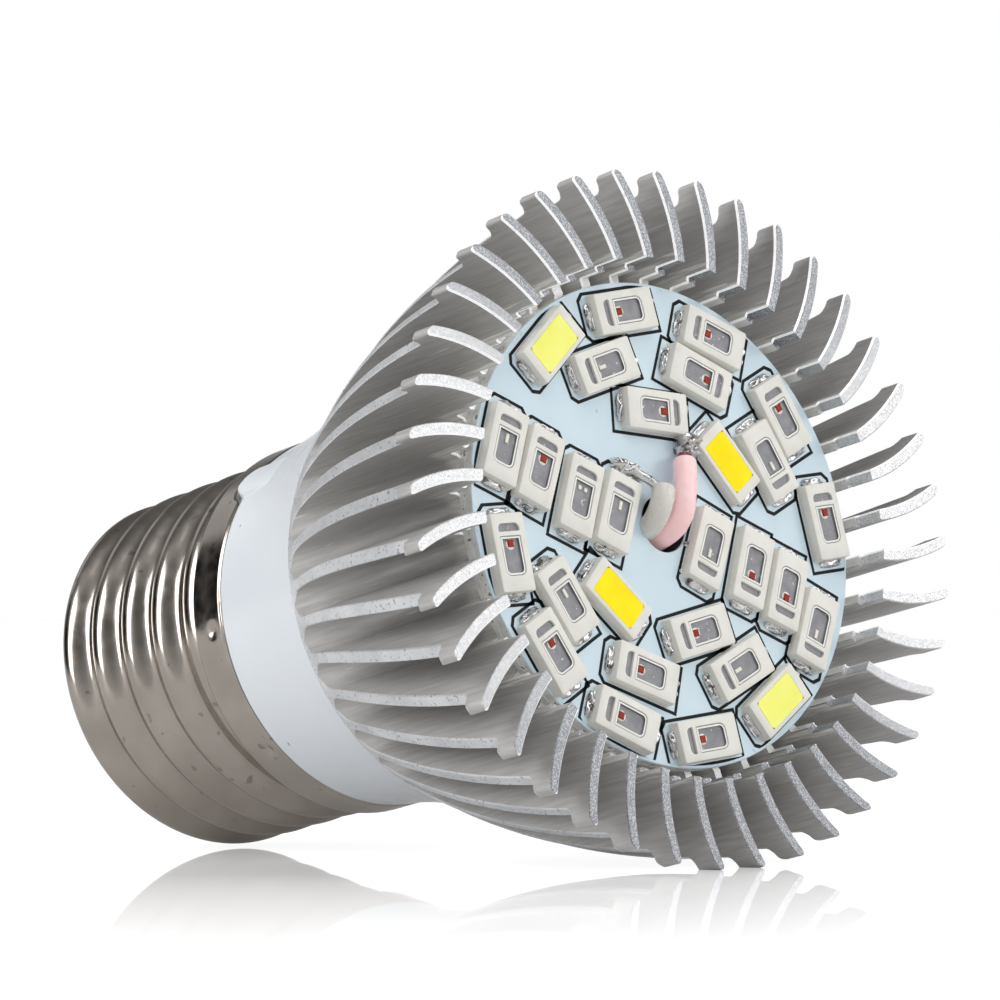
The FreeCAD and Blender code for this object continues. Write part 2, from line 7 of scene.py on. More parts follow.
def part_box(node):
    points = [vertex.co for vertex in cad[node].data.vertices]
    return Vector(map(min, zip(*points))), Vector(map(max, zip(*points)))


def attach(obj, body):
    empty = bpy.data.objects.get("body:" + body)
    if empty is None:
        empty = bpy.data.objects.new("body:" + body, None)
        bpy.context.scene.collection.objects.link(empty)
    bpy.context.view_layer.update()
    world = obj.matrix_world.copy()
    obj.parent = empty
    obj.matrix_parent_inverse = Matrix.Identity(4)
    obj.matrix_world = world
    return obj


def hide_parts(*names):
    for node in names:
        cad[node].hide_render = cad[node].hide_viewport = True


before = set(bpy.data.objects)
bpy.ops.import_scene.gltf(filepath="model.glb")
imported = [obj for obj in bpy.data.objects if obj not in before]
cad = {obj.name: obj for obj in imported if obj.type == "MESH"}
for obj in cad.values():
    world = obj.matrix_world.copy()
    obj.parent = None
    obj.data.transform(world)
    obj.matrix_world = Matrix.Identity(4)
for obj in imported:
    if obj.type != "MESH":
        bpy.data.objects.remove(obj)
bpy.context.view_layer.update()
mm = 0.001
print("frame loaded:", len(cad), "nodes")


# Heights and radii shared by several pieces, read from the frame and given in millimetres
def nodeBox(name):
    low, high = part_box(name)
    return np.array(low) / mm, np.array(high) / mm


frontHeight = nodeBox("heat_sink")[1][2]
collarFront = nodeBox("heat_sink")[0][2]
boardTop = nodeBox("led_board")[1][2]
boardRadius = nodeBox("led_board")[1][0]
shellEnd = nodeBox("screw_shell")[0][2]


# Mesh tools: every surface is a grid of points worked out from two parameters

def gridFaces(rows, columns, closedRows=False, closedColumns=False):
    # quads between neighbouring rows and columns; a closed direction joins its last line to its first
    r = np.arange(rows if closedRows else rows - 1)
    c = np.arange(columns if closedColumns else columns - 1)
    r, c = np.meshgrid(r, c, indexing="ij")
    nextR, nextC = (r + 1) % rows, (c + 1) % columns
    quads = np.stack([r * columns + c, nextR * columns + c, nextR * columns + nextC, r * columns + nextC], -1)
    return quads.reshape(-1, 4)


def surface(points, closedRows=False, closedColumns=False, flip=False, material=0):
    rows, columns = points.shape[:2]
    quads = gridFaces(rows, columns, closedRows, closedColumns)
    if flip:
        quads = quads[:, ::-1]
    return points.reshape(-1, 3), quads, material


def rotated(points, degrees):
    # turns points (n, 3) about Z by each of several angles: gives (angles, n, 3)
    a = np.radians(np.atleast_1d(degrees))
    x = points[None, :, 0] * np.cos(a)[:, None] - points[None, :, 1] * np.sin(a)[:, None]
    y = points[None, :, 0] * np.sin(a)[:, None] + points[None, :, 1] * np.cos(a)[:, None]
    return np.stack([x, y, np.broadcast_to(points[None, :, 2], x.shape)], -1)


def copies(piece, placed):
    # one surface repeated: placed is (copies, n, 3)
    _, quads, material = piece
    count, size = placed.shape[:2]
    shifted = quads[None] + (np.arange(count) * size)[:, None, None]
    return placed.reshape(-1, 3), shifted.reshape(-1, 4), material


def buildPiece(name, parts, materials, smooth=30.0, replaces=(), grain=1e-4):
    # welds points closer than a tenth of a micron, and drops the faces that this closes up
    points = np.concatenate([p[0] for p in parts])
    starts = np.cumsum([0] + [len(p[0]) for p in parts[:-1]])
    quads = np.concatenate([p[1] + s for p, s in zip(parts, starts)])
    kinds = np.concatenate([np.full(len(p[1]), p[2]) for p in parts])
    _, first, index = np.unique(np.round(points / grain).astype(np.int64), axis=0,
                                return_index=True, return_inverse=True)
    quads = index.reshape(-1)[quads]
    points = points[first] * mm
    same = quads == np.roll(quads, -1, axis=1)
    repeats = same.sum(1)
    whole = (repeats == 0) & (quads[:, 0] != quads[:, 2]) & (quads[:, 1] != quads[:, 3])
    thirds = (repeats == 1) & (quads[:, 0] != quads[:, 2]) & (quads[:, 1] != quads[:, 3])
    triangles = quads[thirds][~same[thirds]].reshape(-1, 3)
    corners = np.concatenate([quads[whole].ravel(), triangles.ravel()])
    counts = np.concatenate([np.full(whole.sum(), 4), np.full(thirds.sum(), 3)])
    mesh = bpy.data.meshes.new(name)
    mesh.vertices.add(len(points))
    mesh.vertices.foreach_set("co", points.ravel())
    mesh.loops.add(len(corners))
    mesh.loops.foreach_set("vertex_index", corners.astype(np.int32))
    mesh.polygons.add(len(counts))
    mesh.polygons.foreach_set("loop_start", np.concatenate([[0], np.cumsum(counts)[:-1]]).astype(np.int32))
    mesh.polygons.foreach_set("loop_total", counts.astype(np.int32))
    kinds = np.concatenate([kinds[whole], kinds[thirds]]).astype(np.int32)
    mesh.polygons.foreach_set("material_index", kinds)
    mesh.polygons.foreach_set("use_smooth", np.ones(len(counts), bool))
    mesh.update()
    mesh.validate()
    mesh.set_sharp_from_angle(angle=math.radians(smooth))
    for material in materials:
        mesh.materials.append(material)
    piece = bpy.data.objects.new(name, mesh)
    bpy.context.scene.collection.objects.link(piece)
    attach(piece, "root")
    if replaces:
        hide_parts(*replaces)


def turned(profile, steps, flip=False, material=0, start=0.0):
    # revolves (radius, height) points about Z: x = r cos a, y = r sin a
    profile = np.asarray(profile, float)
    a = np.radians(start + 360.0 * np.arange(steps) / steps)
    r, z = profile[:, 0][:, None], profile[:, 1][:, None]
    points = np.stack([r * np.cos(a), r * np.sin(a), z + 0 * a], -1)
    return surface(points, closedColumns=True, flip=not flip, material=material)


def smoothStep(x, low, high):
    x = np.clip((x - low) / (high - low), 0, 1)
    return x * x * (3 - 2 * x)


# Materials

def addSocket(group, name, direction, kind="NodeSocketFloat"):
    group.interface.new_socket(name=name, in_out=direction, socket_type=kind)


def mixColors(tree, factor, first, second):
    made = tree.nodes.new("ShaderNodeMix")
    made.data_type = "RGBA"
    for socket, value in ((made.inputs[6], first), (made.inputs[7], second)):
        if isinstance(value, tuple):
            socket.default_value = (*value, 1.0)
        else:
            tree.links.new(value, socket)
    tree.links.new(factor, made.inputs[0])
    return made.outputs[2]


def between(tree, source, low, high, fromLow=0.0, fromHigh=1.0, soft=False):
    made = tree.nodes.new("ShaderNodeMapRange")
    if soft:
        made.interpolation_type = "SMOOTHSTEP"
    for key, value in (("From Min", fromLow), ("From Max", fromHigh), ("To Min", low), ("To Max", high)):
        made.inputs[key].default_value = value
    tree.links.new(source, made.inputs["Value"])
    return made.outputs["Result"]


def times(tree, first, second, operation="MULTIPLY"):
    made = tree.nodes.new("ShaderNodeMath")
    made.operation = operation
    for socket, value in zip(made.inputs, (first, second)):
        if isinstance(value, float):
            socket.default_value = value
        else:
            tree.links.new(value, socket)
    return made.outputs[0]


# the noise level at which specks start when their share is 0, and their soft edge
speckLevel = {"top": 0.86, "edge": 0.05}


def addNoise(group, given, scale, detail):
    noise = group.nodes.new("ShaderNodeTexNoise")
    noise.inputs["Detail"].default_value = detail
    group.links.new(given.outputs["Vector"], noise.inputs["Vector"])
    group.links.new(given.outputs[scale], noise.inputs["Scale"])
    return noise.outputs["Fac"]


def buildSurfaceGroup():
    # cloudy patches, a fine grain and scattered specks, each between 0 and 1
    group = bpy.data.node_groups.new("surfaceVariation", "ShaderNodeTree")
    addSocket(group, "Vector", "INPUT", "NodeSocketVector")
    for name in ("Cloud Scale", "Grain Scale", "Speck Scale", "Speck Share"):
        addSocket(group, name, "INPUT")
    for name in ("Clouds", "Grain", "Specks"):
        addSocket(group, name, "OUTPUT")
    nodes, links = group.nodes, group.links
    given, out = nodes.new("NodeGroupInput"), nodes.new("NodeGroupOutput")
    # detail of the noise, and the levels between which it runs from 0 to 1
    for scale, result, detail, low, high in (("Cloud Scale", "Clouds", 3.0, 0.32, 0.68),
                                             ("Grain Scale", "Grain", 2.0, 0.3, 0.7)):
        noise = addNoise(group, given, scale, detail)
        links.new(between(group, noise, 0.0, 1.0, low, high), out.inputs[result])
    # a larger share lowers the level above which the noise counts as a speck
    level = times(group, speckLevel["top"], given.outputs["Speck Share"], "SUBTRACT")
    over = times(group, addNoise(group, given, "Speck Scale", 1.0), level, "SUBTRACT")
    links.new(between(group, over, 0.0, 1.0, 0.0, speckLevel["edge"], soft=True), out.inputs["Specks"])
    return group


surfaceVariation = buildSurfaceGroup()


def finish(name, low, high, roughness, metallic=0.0, clouds=300.0, grain=3000.0, speck=None,
           speckScale=2500.0, speckShare=0.3, bump=(0.1, 0.00002), stretch=(1.0, 1.0, 1.0), **extra):
    # colour drifts from low to high with the clouds; roughness and the bump's height follow the grain
    material = bpy.data.materials.new(name)
    material.use_nodes = True
    tree = material.node_tree
    shader = tree.nodes["Principled BSDF"]
    shader.inputs["Metallic"].default_value = metallic
    for key, value in extra.items():
        shader.inputs[key].default_value = value
    coords = tree.nodes.new("ShaderNodeTexCoord")
    mapping = tree.nodes.new("ShaderNodeMapping")
    mapping.inputs["Scale"].default_value = stretch
    tree.links.new(coords.outputs["Object"], mapping.inputs["Vector"])
    field = tree.nodes.new("ShaderNodeGroup")
    field.name = "variation"
    field.node_tree = surfaceVariation
    for key, value in (("Cloud Scale", clouds), ("Grain Scale", grain), ("Speck Scale", speckScale),
                       ("Speck Share", speckShare)):
        field.inputs[key].default_value = value
    tree.links.new(mapping.outputs["Vector"], field.inputs["Vector"])
    color = mixColors(tree, field.outputs["Clouds"], low, high)
    if speck:
        color = mixColors(tree, field.outputs["Specks"], color, speck)
    tree.links.new(color, shader.inputs["Base Color"])
    tree.links.new(between(tree, field.outputs["Grain"], *roughness), shader.inputs["Roughness"])
    relief = tree.nodes.new("ShaderNodeBump")
    relief.inputs["Strength"].default_value = bump[0]
    relief.inputs["Distance"].default_value = bump[1]
    tree.links.new(field.outputs["Grain"], relief.inputs["Height"])
    tree.links.new(relief.outputs["Normal"], shader.inputs["Normal"])
    return material


turnedMetal = finish(
    "turnedMetal", (0.74, 0.755, 0.78), (0.90, 0.915, 0.94), (0.32, 0.46), metallic=0.65, clouds=420.0,
    grain=5200.0, speck=(0.42, 0.42, 0.43), speckScale=4600.0, speckShare=0.22, bump=(0.25, 0.00002))
frontMetal = finish(
    "frontMetal", (0.74, 0.74, 0.75), (0.90, 0.90, 0.90), (0.28, 0.50), metallic=0.7, clouds=2600.0,
    grain=6500.0, speck=(0.62, 0.63, 0.65), speckScale=9500.0, speckShare=0.34, bump=(0.6, 0.00004))
extrudedMetal = finish(
    "extrudedMetal", (0.46, 0.45, 0.435), (0.58, 0.57, 0.56), (0.42, 0.55), metallic=0.4, clouds=3600.0,
    grain=5200.0, speck=(0.72, 0.72, 0.71), speckScale=3400.0, speckShare=0.12, bump=(0.22, 0.00003),
    stretch=(1.0, 1.0, 0.07))
# painted glint: a white material that glows, for the thin bright line along the fins' near front edges
paintedGlintEdge = finish(
    "paintedGlintEdge", (0.92, 0.93, 0.94), (0.99, 0.99, 0.99), (0.25, 0.4), metallic=0.1, clouds=1500.0,
    grain=4200.0, speck=(0.62, 0.63, 0.65), speckScale=3800.0, speckShare=0.22, bump=(0.3, 0.00003),
    **{"Emission Color": (1.0, 1.0, 1.0, 1.0), "Emission Strength": 0.3})
cutRoot = finish(
    "cutRoot", (0.84, 0.84, 0.82), (0.95, 0.95, 0.93), (0.3, 0.42), metallic=0.3, clouds=1200.0,
    grain=3600.0, speck=(0.6, 0.6, 0.58), speckScale=2400.0, speckShare=0.14, bump=(0.15, 0.00002))
nickelPlate = finish(
    "nickelPlate", (0.43, 0.39, 0.35), (0.53, 0.48, 0.435), (0.13, 0.24), metallic=1.0, clouds=220.0,
    grain=900.0, speck=(0.34, 0.30, 0.27), speckScale=1100.0, speckShare=0.16, bump=(0.04, 0.00003))
collarPlastic = finish(
    "collarPlastic", (0.78, 0.825, 0.875), (0.81, 0.85, 0.895), (0.14, 0.24), clouds=120.0,
    grain=1500.0, speck=(0.34, 0.34, 0.34), speckScale=900.0, speckShare=0.085, bump=(0.03, 0.00002))
boardMask = finish(
    "boardMask", (0.61, 0.755, 0.845), (0.65, 0.785, 0.865), (0.16, 0.26), clouds=260.0, grain=1800.0,
    speck=(0.50, 0.63, 0.72), speckScale=1400.0, speckShare=0.10, bump=(0.04, 0.00002))
boardCore = finish(
    "boardCore", (0.62, 0.62, 0.60), (0.88, 0.88, 0.86), (0.38, 0.5), metallic=0.25, clouds=1300.0,
    grain=4200.0, speck=(0.24, 0.24, 0.25), speckScale=2600.0, speckShare=0.2, bump=(0.3, 0.00003))
housingPlastic = finish(
    "housingPlastic", (0.80, 0.785, 0.725), (0.86, 0.845, 0.79), (0.38, 0.5), clouds=700.0,
    grain=4500.0, speck=(0.70, 0.68, 0.62), speckScale=3200.0, speckShare=0.12, bump=(0.07, 0.00002))
solderTin = finish(
    "solderTin", (0.56, 0.56, 0.57), (0.82, 0.81, 0.80), (0.14, 0.34), metallic=1.0, clouds=1500.0,
    grain=2600.0, speck=(0.22, 0.19, 0.18), speckScale=1800.0, speckShare=0.24, bump=(0.35, 0.00005))
redCrystal = finish(
    "redCrystal", (0.22, 0.010, 0.004), (0.42, 0.03, 0.008), (0.35, 0.5), clouds=5200.0, grain=9000.0,
    bump=(0.1, 0.00001), **{"Specular IOR Level": 0.25})
clearCrystal = finish(
    "clearCrystal", (0.78, 0.75, 0.64), (0.90, 0.87, 0.76), (0.2, 0.35), clouds=4000.0, grain=8000.0,
    bump=(0.1, 0.00001))
# the phosphor fills glow a little though the emitters are off: painted glow
goldenFillPaintedGlow = finish(
    "goldenFillPaintedGlow", (0.95, 0.70, 0.004), (0.98, 0.80, 0.012), (0.45, 0.6), clouds=500.0, grain=6000.0,
    bump=(0.08, 0.00001),
    **{"Emission Color": (1.0, 0.78, 0.0, 1.0), "Emission Strength": 0.18, "Specular IOR Level": 0.12})
lemonFillPaintedGlow = finish(
    "lemonFillPaintedGlow", (0.90, 0.90, 0.12), (0.95, 0.95, 0.22), (0.35, 0.5), clouds=500.0, grain=6000.0,
    bump=(0.08, 0.00001), **{"Emission Color": (1.0, 1.0, 0.16, 1.0), "Emission Strength": 0.08})
# the pink insulation glows a little: painted light that brightens it
pinkInsulationPaintedGlow = finish(
    "pinkInsulationPaintedGlow", (0.95, 0.62, 0.63), (0.98, 0.70, 0.70), (0.22, 0.34), clouds=420.0, grain=2200.0,
    bump=(0.05, 0.00002),
    **{"Subsurface Weight": 0.25, "Subsurface Scale": 0.0006, "Emission Color": (1.0, 0.62, 0.63, 1.0),
       "Emission Strength": 0.13})
whiteInsulation = finish(
    "whiteInsulation", (0.72, 0.70, 0.655), (0.78, 0.76, 0.72), (0.24, 0.36), clouds=420.0,
    grain=2200.0, speck=(0.62, 0.58, 0.52), speckScale=900.0, speckShare=0.12, bump=(0.05, 0.00002),
    **{"Subsurface Weight": 0.25, "Subsurface Scale": 0.0006})
milkyGlass = finish(
    "milkyGlass", (0.72, 0.72, 0.70), (0.80, 0.80, 0.78), (0.06, 0.12), clouds=300.0, grain=1200.0,
    speck=(0.50, 0.49, 0.46), speckScale=800.0, speckShare=0.10, bump=(0.02, 0.00002))
contactTin = finish(
    "contactTin", (0.52, 0.50, 0.46), (0.68, 0.66, 0.62), (0.2, 0.34), metallic=1.0, clouds=600.0,
    grain=1600.0, bump=(0.12, 0.00003))
windowRing = finish(
    "windowRing", (0.88, 0.87, 0.82), (0.93, 0.92, 0.88), (0.2, 0.3), clouds=900.0, grain=5000.0,
    bump=(0.04, 0.00001))
leadFrame = finish(
    "leadFrame", (0.20, 0.20, 0.215), (0.27, 0.27, 0.285), (0.36, 0.46), metallic=0.3, clouds=1200.0,
    grain=5200.0, speck=(0.62, 0.62, 0.62), speckScale=3600.0, speckShare=0.15, bump=(0.08, 0.00001))
printInk = finish(
    "printInk", (0.004, 0.004, 0.005), (0.010, 0.010, 0.011), (0.5, 0.62), clouds=900.0, grain=5000.0,
    bump=(0.1, 0.00001), **{"Specular IOR Level": 0.2})
burntFlux = finish(
    "burntFlux", (0.16, 0.02, 0.03), (0.32, 0.06, 0.07), (0.18, 0.34), clouds=1200.0, grain=3000.0,
    bump=(0.2, 0.00003))
laminate = finish(
    "laminate", (0.40, 0.28, 0.11), (0.50, 0.36, 0.16), (0.45, 0.6), clouds=900.0, grain=3000.0)
blackBody = finish(
    "blackBody", (0.016, 0.016, 0.018), (0.030, 0.030, 0.032), (0.35, 0.5), clouds=700.0, grain=4000.0)
tapeYellow = finish(
    "tapeYellow", (0.55, 0.38, 0.04), (0.66, 0.47, 0.07), (0.3, 0.42), clouds=500.0, grain=2400.0)
blueSleeve = finish(
    "blueSleeve", (0.025, 0.045, 0.12), (0.04, 0.06, 0.16), (0.2, 0.32), clouds=400.0, grain=2000.0)


# painted light on the fin roots: radii in metres over which it ends, how far the clouds move that line,
# millimetres under the front
rootLightPaint = {"reach": (0.0186, 0.0191), "ragged": 0.0012, "underFront": (6.0, 4.6), "metallic": 0.1,
         "low": (0.62, 0.61, 0.58), "high": (0.92, 0.91, 0.88)}


def paintRootLight(material):
    # a painted pool of light where the fins meet the core, with a ragged edge: a mask from the radius and the
    # height
    tree = material.node_tree
    make = tree.nodes.new
    shader = tree.nodes["Principled BSDF"]
    field = tree.nodes["variation"]
    flat = make("ShaderNodeVectorMath")
    flat.operation = "MULTIPLY"
    flat.inputs[1].default_value = (1.0, 1.0, 0.0)
    length = make("ShaderNodeVectorMath")
    length.operation = "LENGTH"
    height = make("ShaderNodeSeparateXYZ")
    coords = make("ShaderNodeTexCoord")
    tree.links.new(coords.outputs["Object"], flat.inputs[0])
    tree.links.new(flat.outputs[0], length.inputs[0])
    tree.links.new(coords.outputs["Object"], height.inputs[0])
    ragged = times(tree, field.outputs["Clouds"], rootLightPaint["ragged"])
    reach = times(tree, length.outputs["Value"], ragged, "ADD")
    near = between(tree, reach, 1.0, 0.0, *rootLightPaint["reach"], soft=True)
    lower, upper = ((frontHeight - under) * mm for under in rootLightPaint["underFront"])
    front = between(tree, height.outputs["Z"], 0.0, 1.0, lower, upper, soft=True)
    zone = times(tree, near, front)
    paintedLight = mixColors(tree, field.outputs["Grain"], rootLightPaint["low"], rootLightPaint["high"])
    base = shader.inputs["Base Color"].links[0].from_socket
    tree.links.new(mixColors(tree, zone, base, paintedLight), shader.inputs["Base Color"])
    metallic = shader.inputs["Metallic"]
    tree.links.new(between(tree, zone, metallic.default_value, rootLightPaint["metallic"]), metallic)


paintRootLight(extrudedMetal)


# painted sheen: the bearing of the diameter with the painted highlight, the stretch of the squared cosine,
# the two colours of the painted shade across it
sheenPaint = {"bearing": 262.0, "stretch": (0.38, 0.97), "dark": (0.27, 0.28, 0.30),
         "darkSpeck": (0.50, 0.51, 0.53)}


def paintSheen(material):
    # painted sheen: the reflection a lathe-turned face shows, bright along one diameter and dark across it,
    # painted into the colour as cos(a - bearing) squared
    tree = material.node_tree
    bearing = math.radians(sheenPaint["bearing"])
    shader = tree.nodes["Principled BSDF"]
    coords, flat, unit, facing = (tree.nodes.new(kind) for kind in (
        "ShaderNodeTexCoord", "ShaderNodeVectorMath", "ShaderNodeVectorMath", "ShaderNodeVectorMath"))
    flat.operation, unit.operation, facing.operation = "MULTIPLY", "NORMALIZE", "DOT_PRODUCT"
    flat.inputs[1].default_value = (1.0, 1.0, 0.0)
    facing.inputs[1].default_value = (math.cos(bearing), math.sin(bearing), 0.0)
    tree.links.new(coords.outputs["Object"], flat.inputs[0])
    tree.links.new(flat.outputs[0], unit.inputs[0])
    tree.links.new(unit.outputs[0], facing.inputs[0])
    share = times(tree, facing.outputs["Value"], facing.outputs["Value"])
    base = shader.inputs["Base Color"].links[0].from_socket
    shade = mixColors(tree, tree.nodes["variation"].outputs["Specks"], sheenPaint["dark"], sheenPaint["darkSpeck"])
    bright = between(tree, share, 0.0, 1.0, *sheenPaint["stretch"], soft=True)
    tree.links.new(mixColors(tree, bright, shade, base), shader.inputs["Base Color"])


paintSheen(frontMetal)


def dress(name, material):
    data = cad[name].data
    data.materials.clear()
    data.materials.append(material)


for index in range(1, 29):
    dress("led_%02d" % index, housingPlastic)
for name, material in (
    ("led_board", boardMask), ("led_terminals", solderTin), ("solder_joints", solderTin),
    ("red_chips", redCrystal), ("blue_chips", clearCrystal), ("golden_phosphor", goldenFillPaintedGlow),
    ("lemon_phosphor", lemonFillPaintedGlow), ("lead_pink", pinkInsulationPaintedGlow), ("lead_white", whiteInsulation),
    ("cap_insulator", milkyGlass), ("centre_contact", contactTin), ("driver_board", laminate),
    ("bulk_capacitor", blueSleeve), ("transformer", tapeYellow), ("bridge_rectifier", blackBody),
    ("control_chip", blackBody), ("fuse_resistor", blackBody), ("contact_wire", whiteInsulation),
    ("shell_wire", blackBody),
):
    dress(name, material)
print("materials dressed")


# Heat sink: one turned profile, cut by forty curved gaps.
# A gap's two sides are arcs, so the bearing of a side at radius r comes from the cosine rule.
sink = {
    "fins": 40, "bearing": 180.5, "boreRadius": 13.9,
    "rearRadius": 15.85, "waist": (19.9, 20.0), "shoulderRadius": 23.0,
    "lipWidth": 1.9, "lipStep": 0.42, "lipRounding": 0.34, "recessRadius": 17.95, "recessDepth": 2.1,
    "nubWidth": 0.4, "nubHeight": 1.72, "seatRadius": 16.95, "gapRoot": 16.1, "gapFoot": 17.0,
    "arcFoot": 17.3, "outer": 25.5, "nearTip": 1.88, "farTip": 9.3, "nearFoot": -4.24, "farFoot": 2.2,
    "nearCurve": 15.4, "farCurve": 13.1, "tipRounding": 0.36, "chamfer": 0.07, "paintedGlintEdge": 0.13,
}


def arcBearing(radii, start, finish, curve, side):
    # the arc runs between two (radius, bearing) points; its circle's centre lies to one side of the chord
    p = np.array([[r * math.cos(math.radians(a)), r * math.sin(math.radians(a))] for r, a in (start, finish)])
    chord = p[1] - p[0]
    length = np.linalg.norm(chord)
    across = np.array([-chord[1], chord[0]]) / length
    centre = p.mean(0) + across * side * math.sqrt(curve ** 2 - length ** 2 / 4)
    reach = np.linalg.norm(centre)
    toward = math.degrees(math.atan2(centre[1], centre[0]))
    cosine = (radii ** 2 + reach ** 2 - curve ** 2) / (2 * radii * reach)
    swing = np.degrees(np.arccos(np.clip(cosine, -1, 1)))
    options = np.stack([toward + swing, toward - swing])
    pick = np.argmin(abs(options[:, 0] - start[1]) if abs(radii[0] - start[0]) < 1e-6 else
                     abs(np.interp(start[0], radii, options[0]) - start[1]) * np.array([1, 0])
                     + abs(np.interp(start[0], radii, options[1]) - start[1]) * np.array([0, 1]))
    return options[pick]


def gapSides(radii):
    # bearings of the gap's near and far side, from the fin tip; both meet at the rounded root
    s = sink

    def arcs(r):
        near = arcBearing(r, (s["arcFoot"], s["nearFoot"]), (s["outer"], s["nearTip"]), s["nearCurve"], 1)
        far = arcBearing(r, (s["arcFoot"], s["farFoot"]), (s["outer"], s["farTip"]), s["farCurve"], 1)
        return near, far

    near, far = arcs(np.maximum(radii, s["gapFoot"]))
    footNear, footFar = (float(v[0]) for v in arcs(np.array([s["gapFoot"]])))
    middle, half = (footNear + footFar) / 2, (footFar - footNear) / 2
    share = np.clip((radii - s["gapRoot"]) / (s["gapFoot"] - s["gapRoot"]), 0, 1)
    rounding = half * np.sqrt(np.clip(1 - (1 - share) ** 2, 0, 1))
    foot = radii < s["gapFoot"]
    near, far = np.where(foot, middle - rounding, near), np.where(foot, middle + rounding, far)
    # a fin's tip is rounded: its half width follows a quarter circle over the last stretch
    tipStart = nodeBox("heat_sink")[1][0] - s["tipRounding"]
    left = np.sqrt(np.clip(1 - (np.clip(radii - tipStart, 0, None) / s["tipRounding"]) ** 2, 0, 1))
    pitch = 360.0 / s["fins"]
    centre, halfFin = (far - pitch + near) / 2, (near - far + pitch) / 2
    tip = radii > tipStart
    return np.where(tip, centre + halfFin * left, near), np.where(tip, centre - halfFin * left + pitch, far)


def bevelAt(radii, width):
    # a chamfer's width, smaller where the gap or the fin is narrow and towards the gap's root
    near, far = gapSides(radii)
    gap = np.clip((far - near) / 2 * np.pi / 180 * radii, 0, None)
    fin = np.clip((near - far + 360.0 / sink["fins"]) / 2 * np.pi / 180 * radii, 0, None)
    deep = np.clip(radii - sink["gapRoot"], 0, None)
    return np.minimum(np.minimum(width, deep * 0.5), np.minimum(gap * 0.4, fin * 0.45))


def outerHeight(radii):
    # height of the turned outside at a radius: one arc from the rear to the shoulder, then the lip's step
    s = sink
    a, b = np.array([s["rearRadius"], collarFront]), np.array(s["waist"])
    c = np.array([s["shoulderRadius"], frontHeight - s["lipWidth"] - s["lipStep"]])
    m = np.array([2 * (b - a), 2 * (c - a)])
    centre = np.linalg.solve(m, np.array([b @ b - a @ a, c @ c - a @ a]))
    curve = np.linalg.norm(a - centre)
    arc = centre[1] - np.sqrt(np.clip(curve ** 2 - (radii - centre[0]) ** 2, 0, None))
    lipDepth = nodeBox("heat_sink")[1][0] - s["shoulderRadius"]
    lipShare = np.clip((radii - s["shoulderRadius"]) / lipDepth, 0, 1)
    # a hollow corner where the lip starts and a rounded one at its edge
    step = c[1] + s["lipStep"] * (1 - (1 - lipShare) ** 5) + s["lipRounding"] * lipShare ** 6
    return np.where(radii <= s["shoulderRadius"], arc, step)


def frontHeightAt(radii, upper):
    # height of the front side at a radius; on a step, upper says which end of it
    s = sink
    levels = np.full(len(radii), frontHeight)
    nub = frontHeight - s["recessDepth"]
    ledge = nub - s["nubHeight"]
    floor = nodeBox("led_board")[0][2]
    edge = 1e-6
    levels = np.where(radii < s["recessRadius"] - edge, nub, levels)
    levels = np.where(radii < s["recessRadius"] - s["nubWidth"] - edge, ledge, levels)
    levels = np.where(radii < s["seatRadius"] - edge, floor, levels)
    for place, low in ((s["recessRadius"], nub), (s["recessRadius"] - s["nubWidth"], ledge),
                       (s["seatRadius"], floor)):
        levels = np.where((abs(radii - place) < edge) & ~upper, low, levels)
    return levels


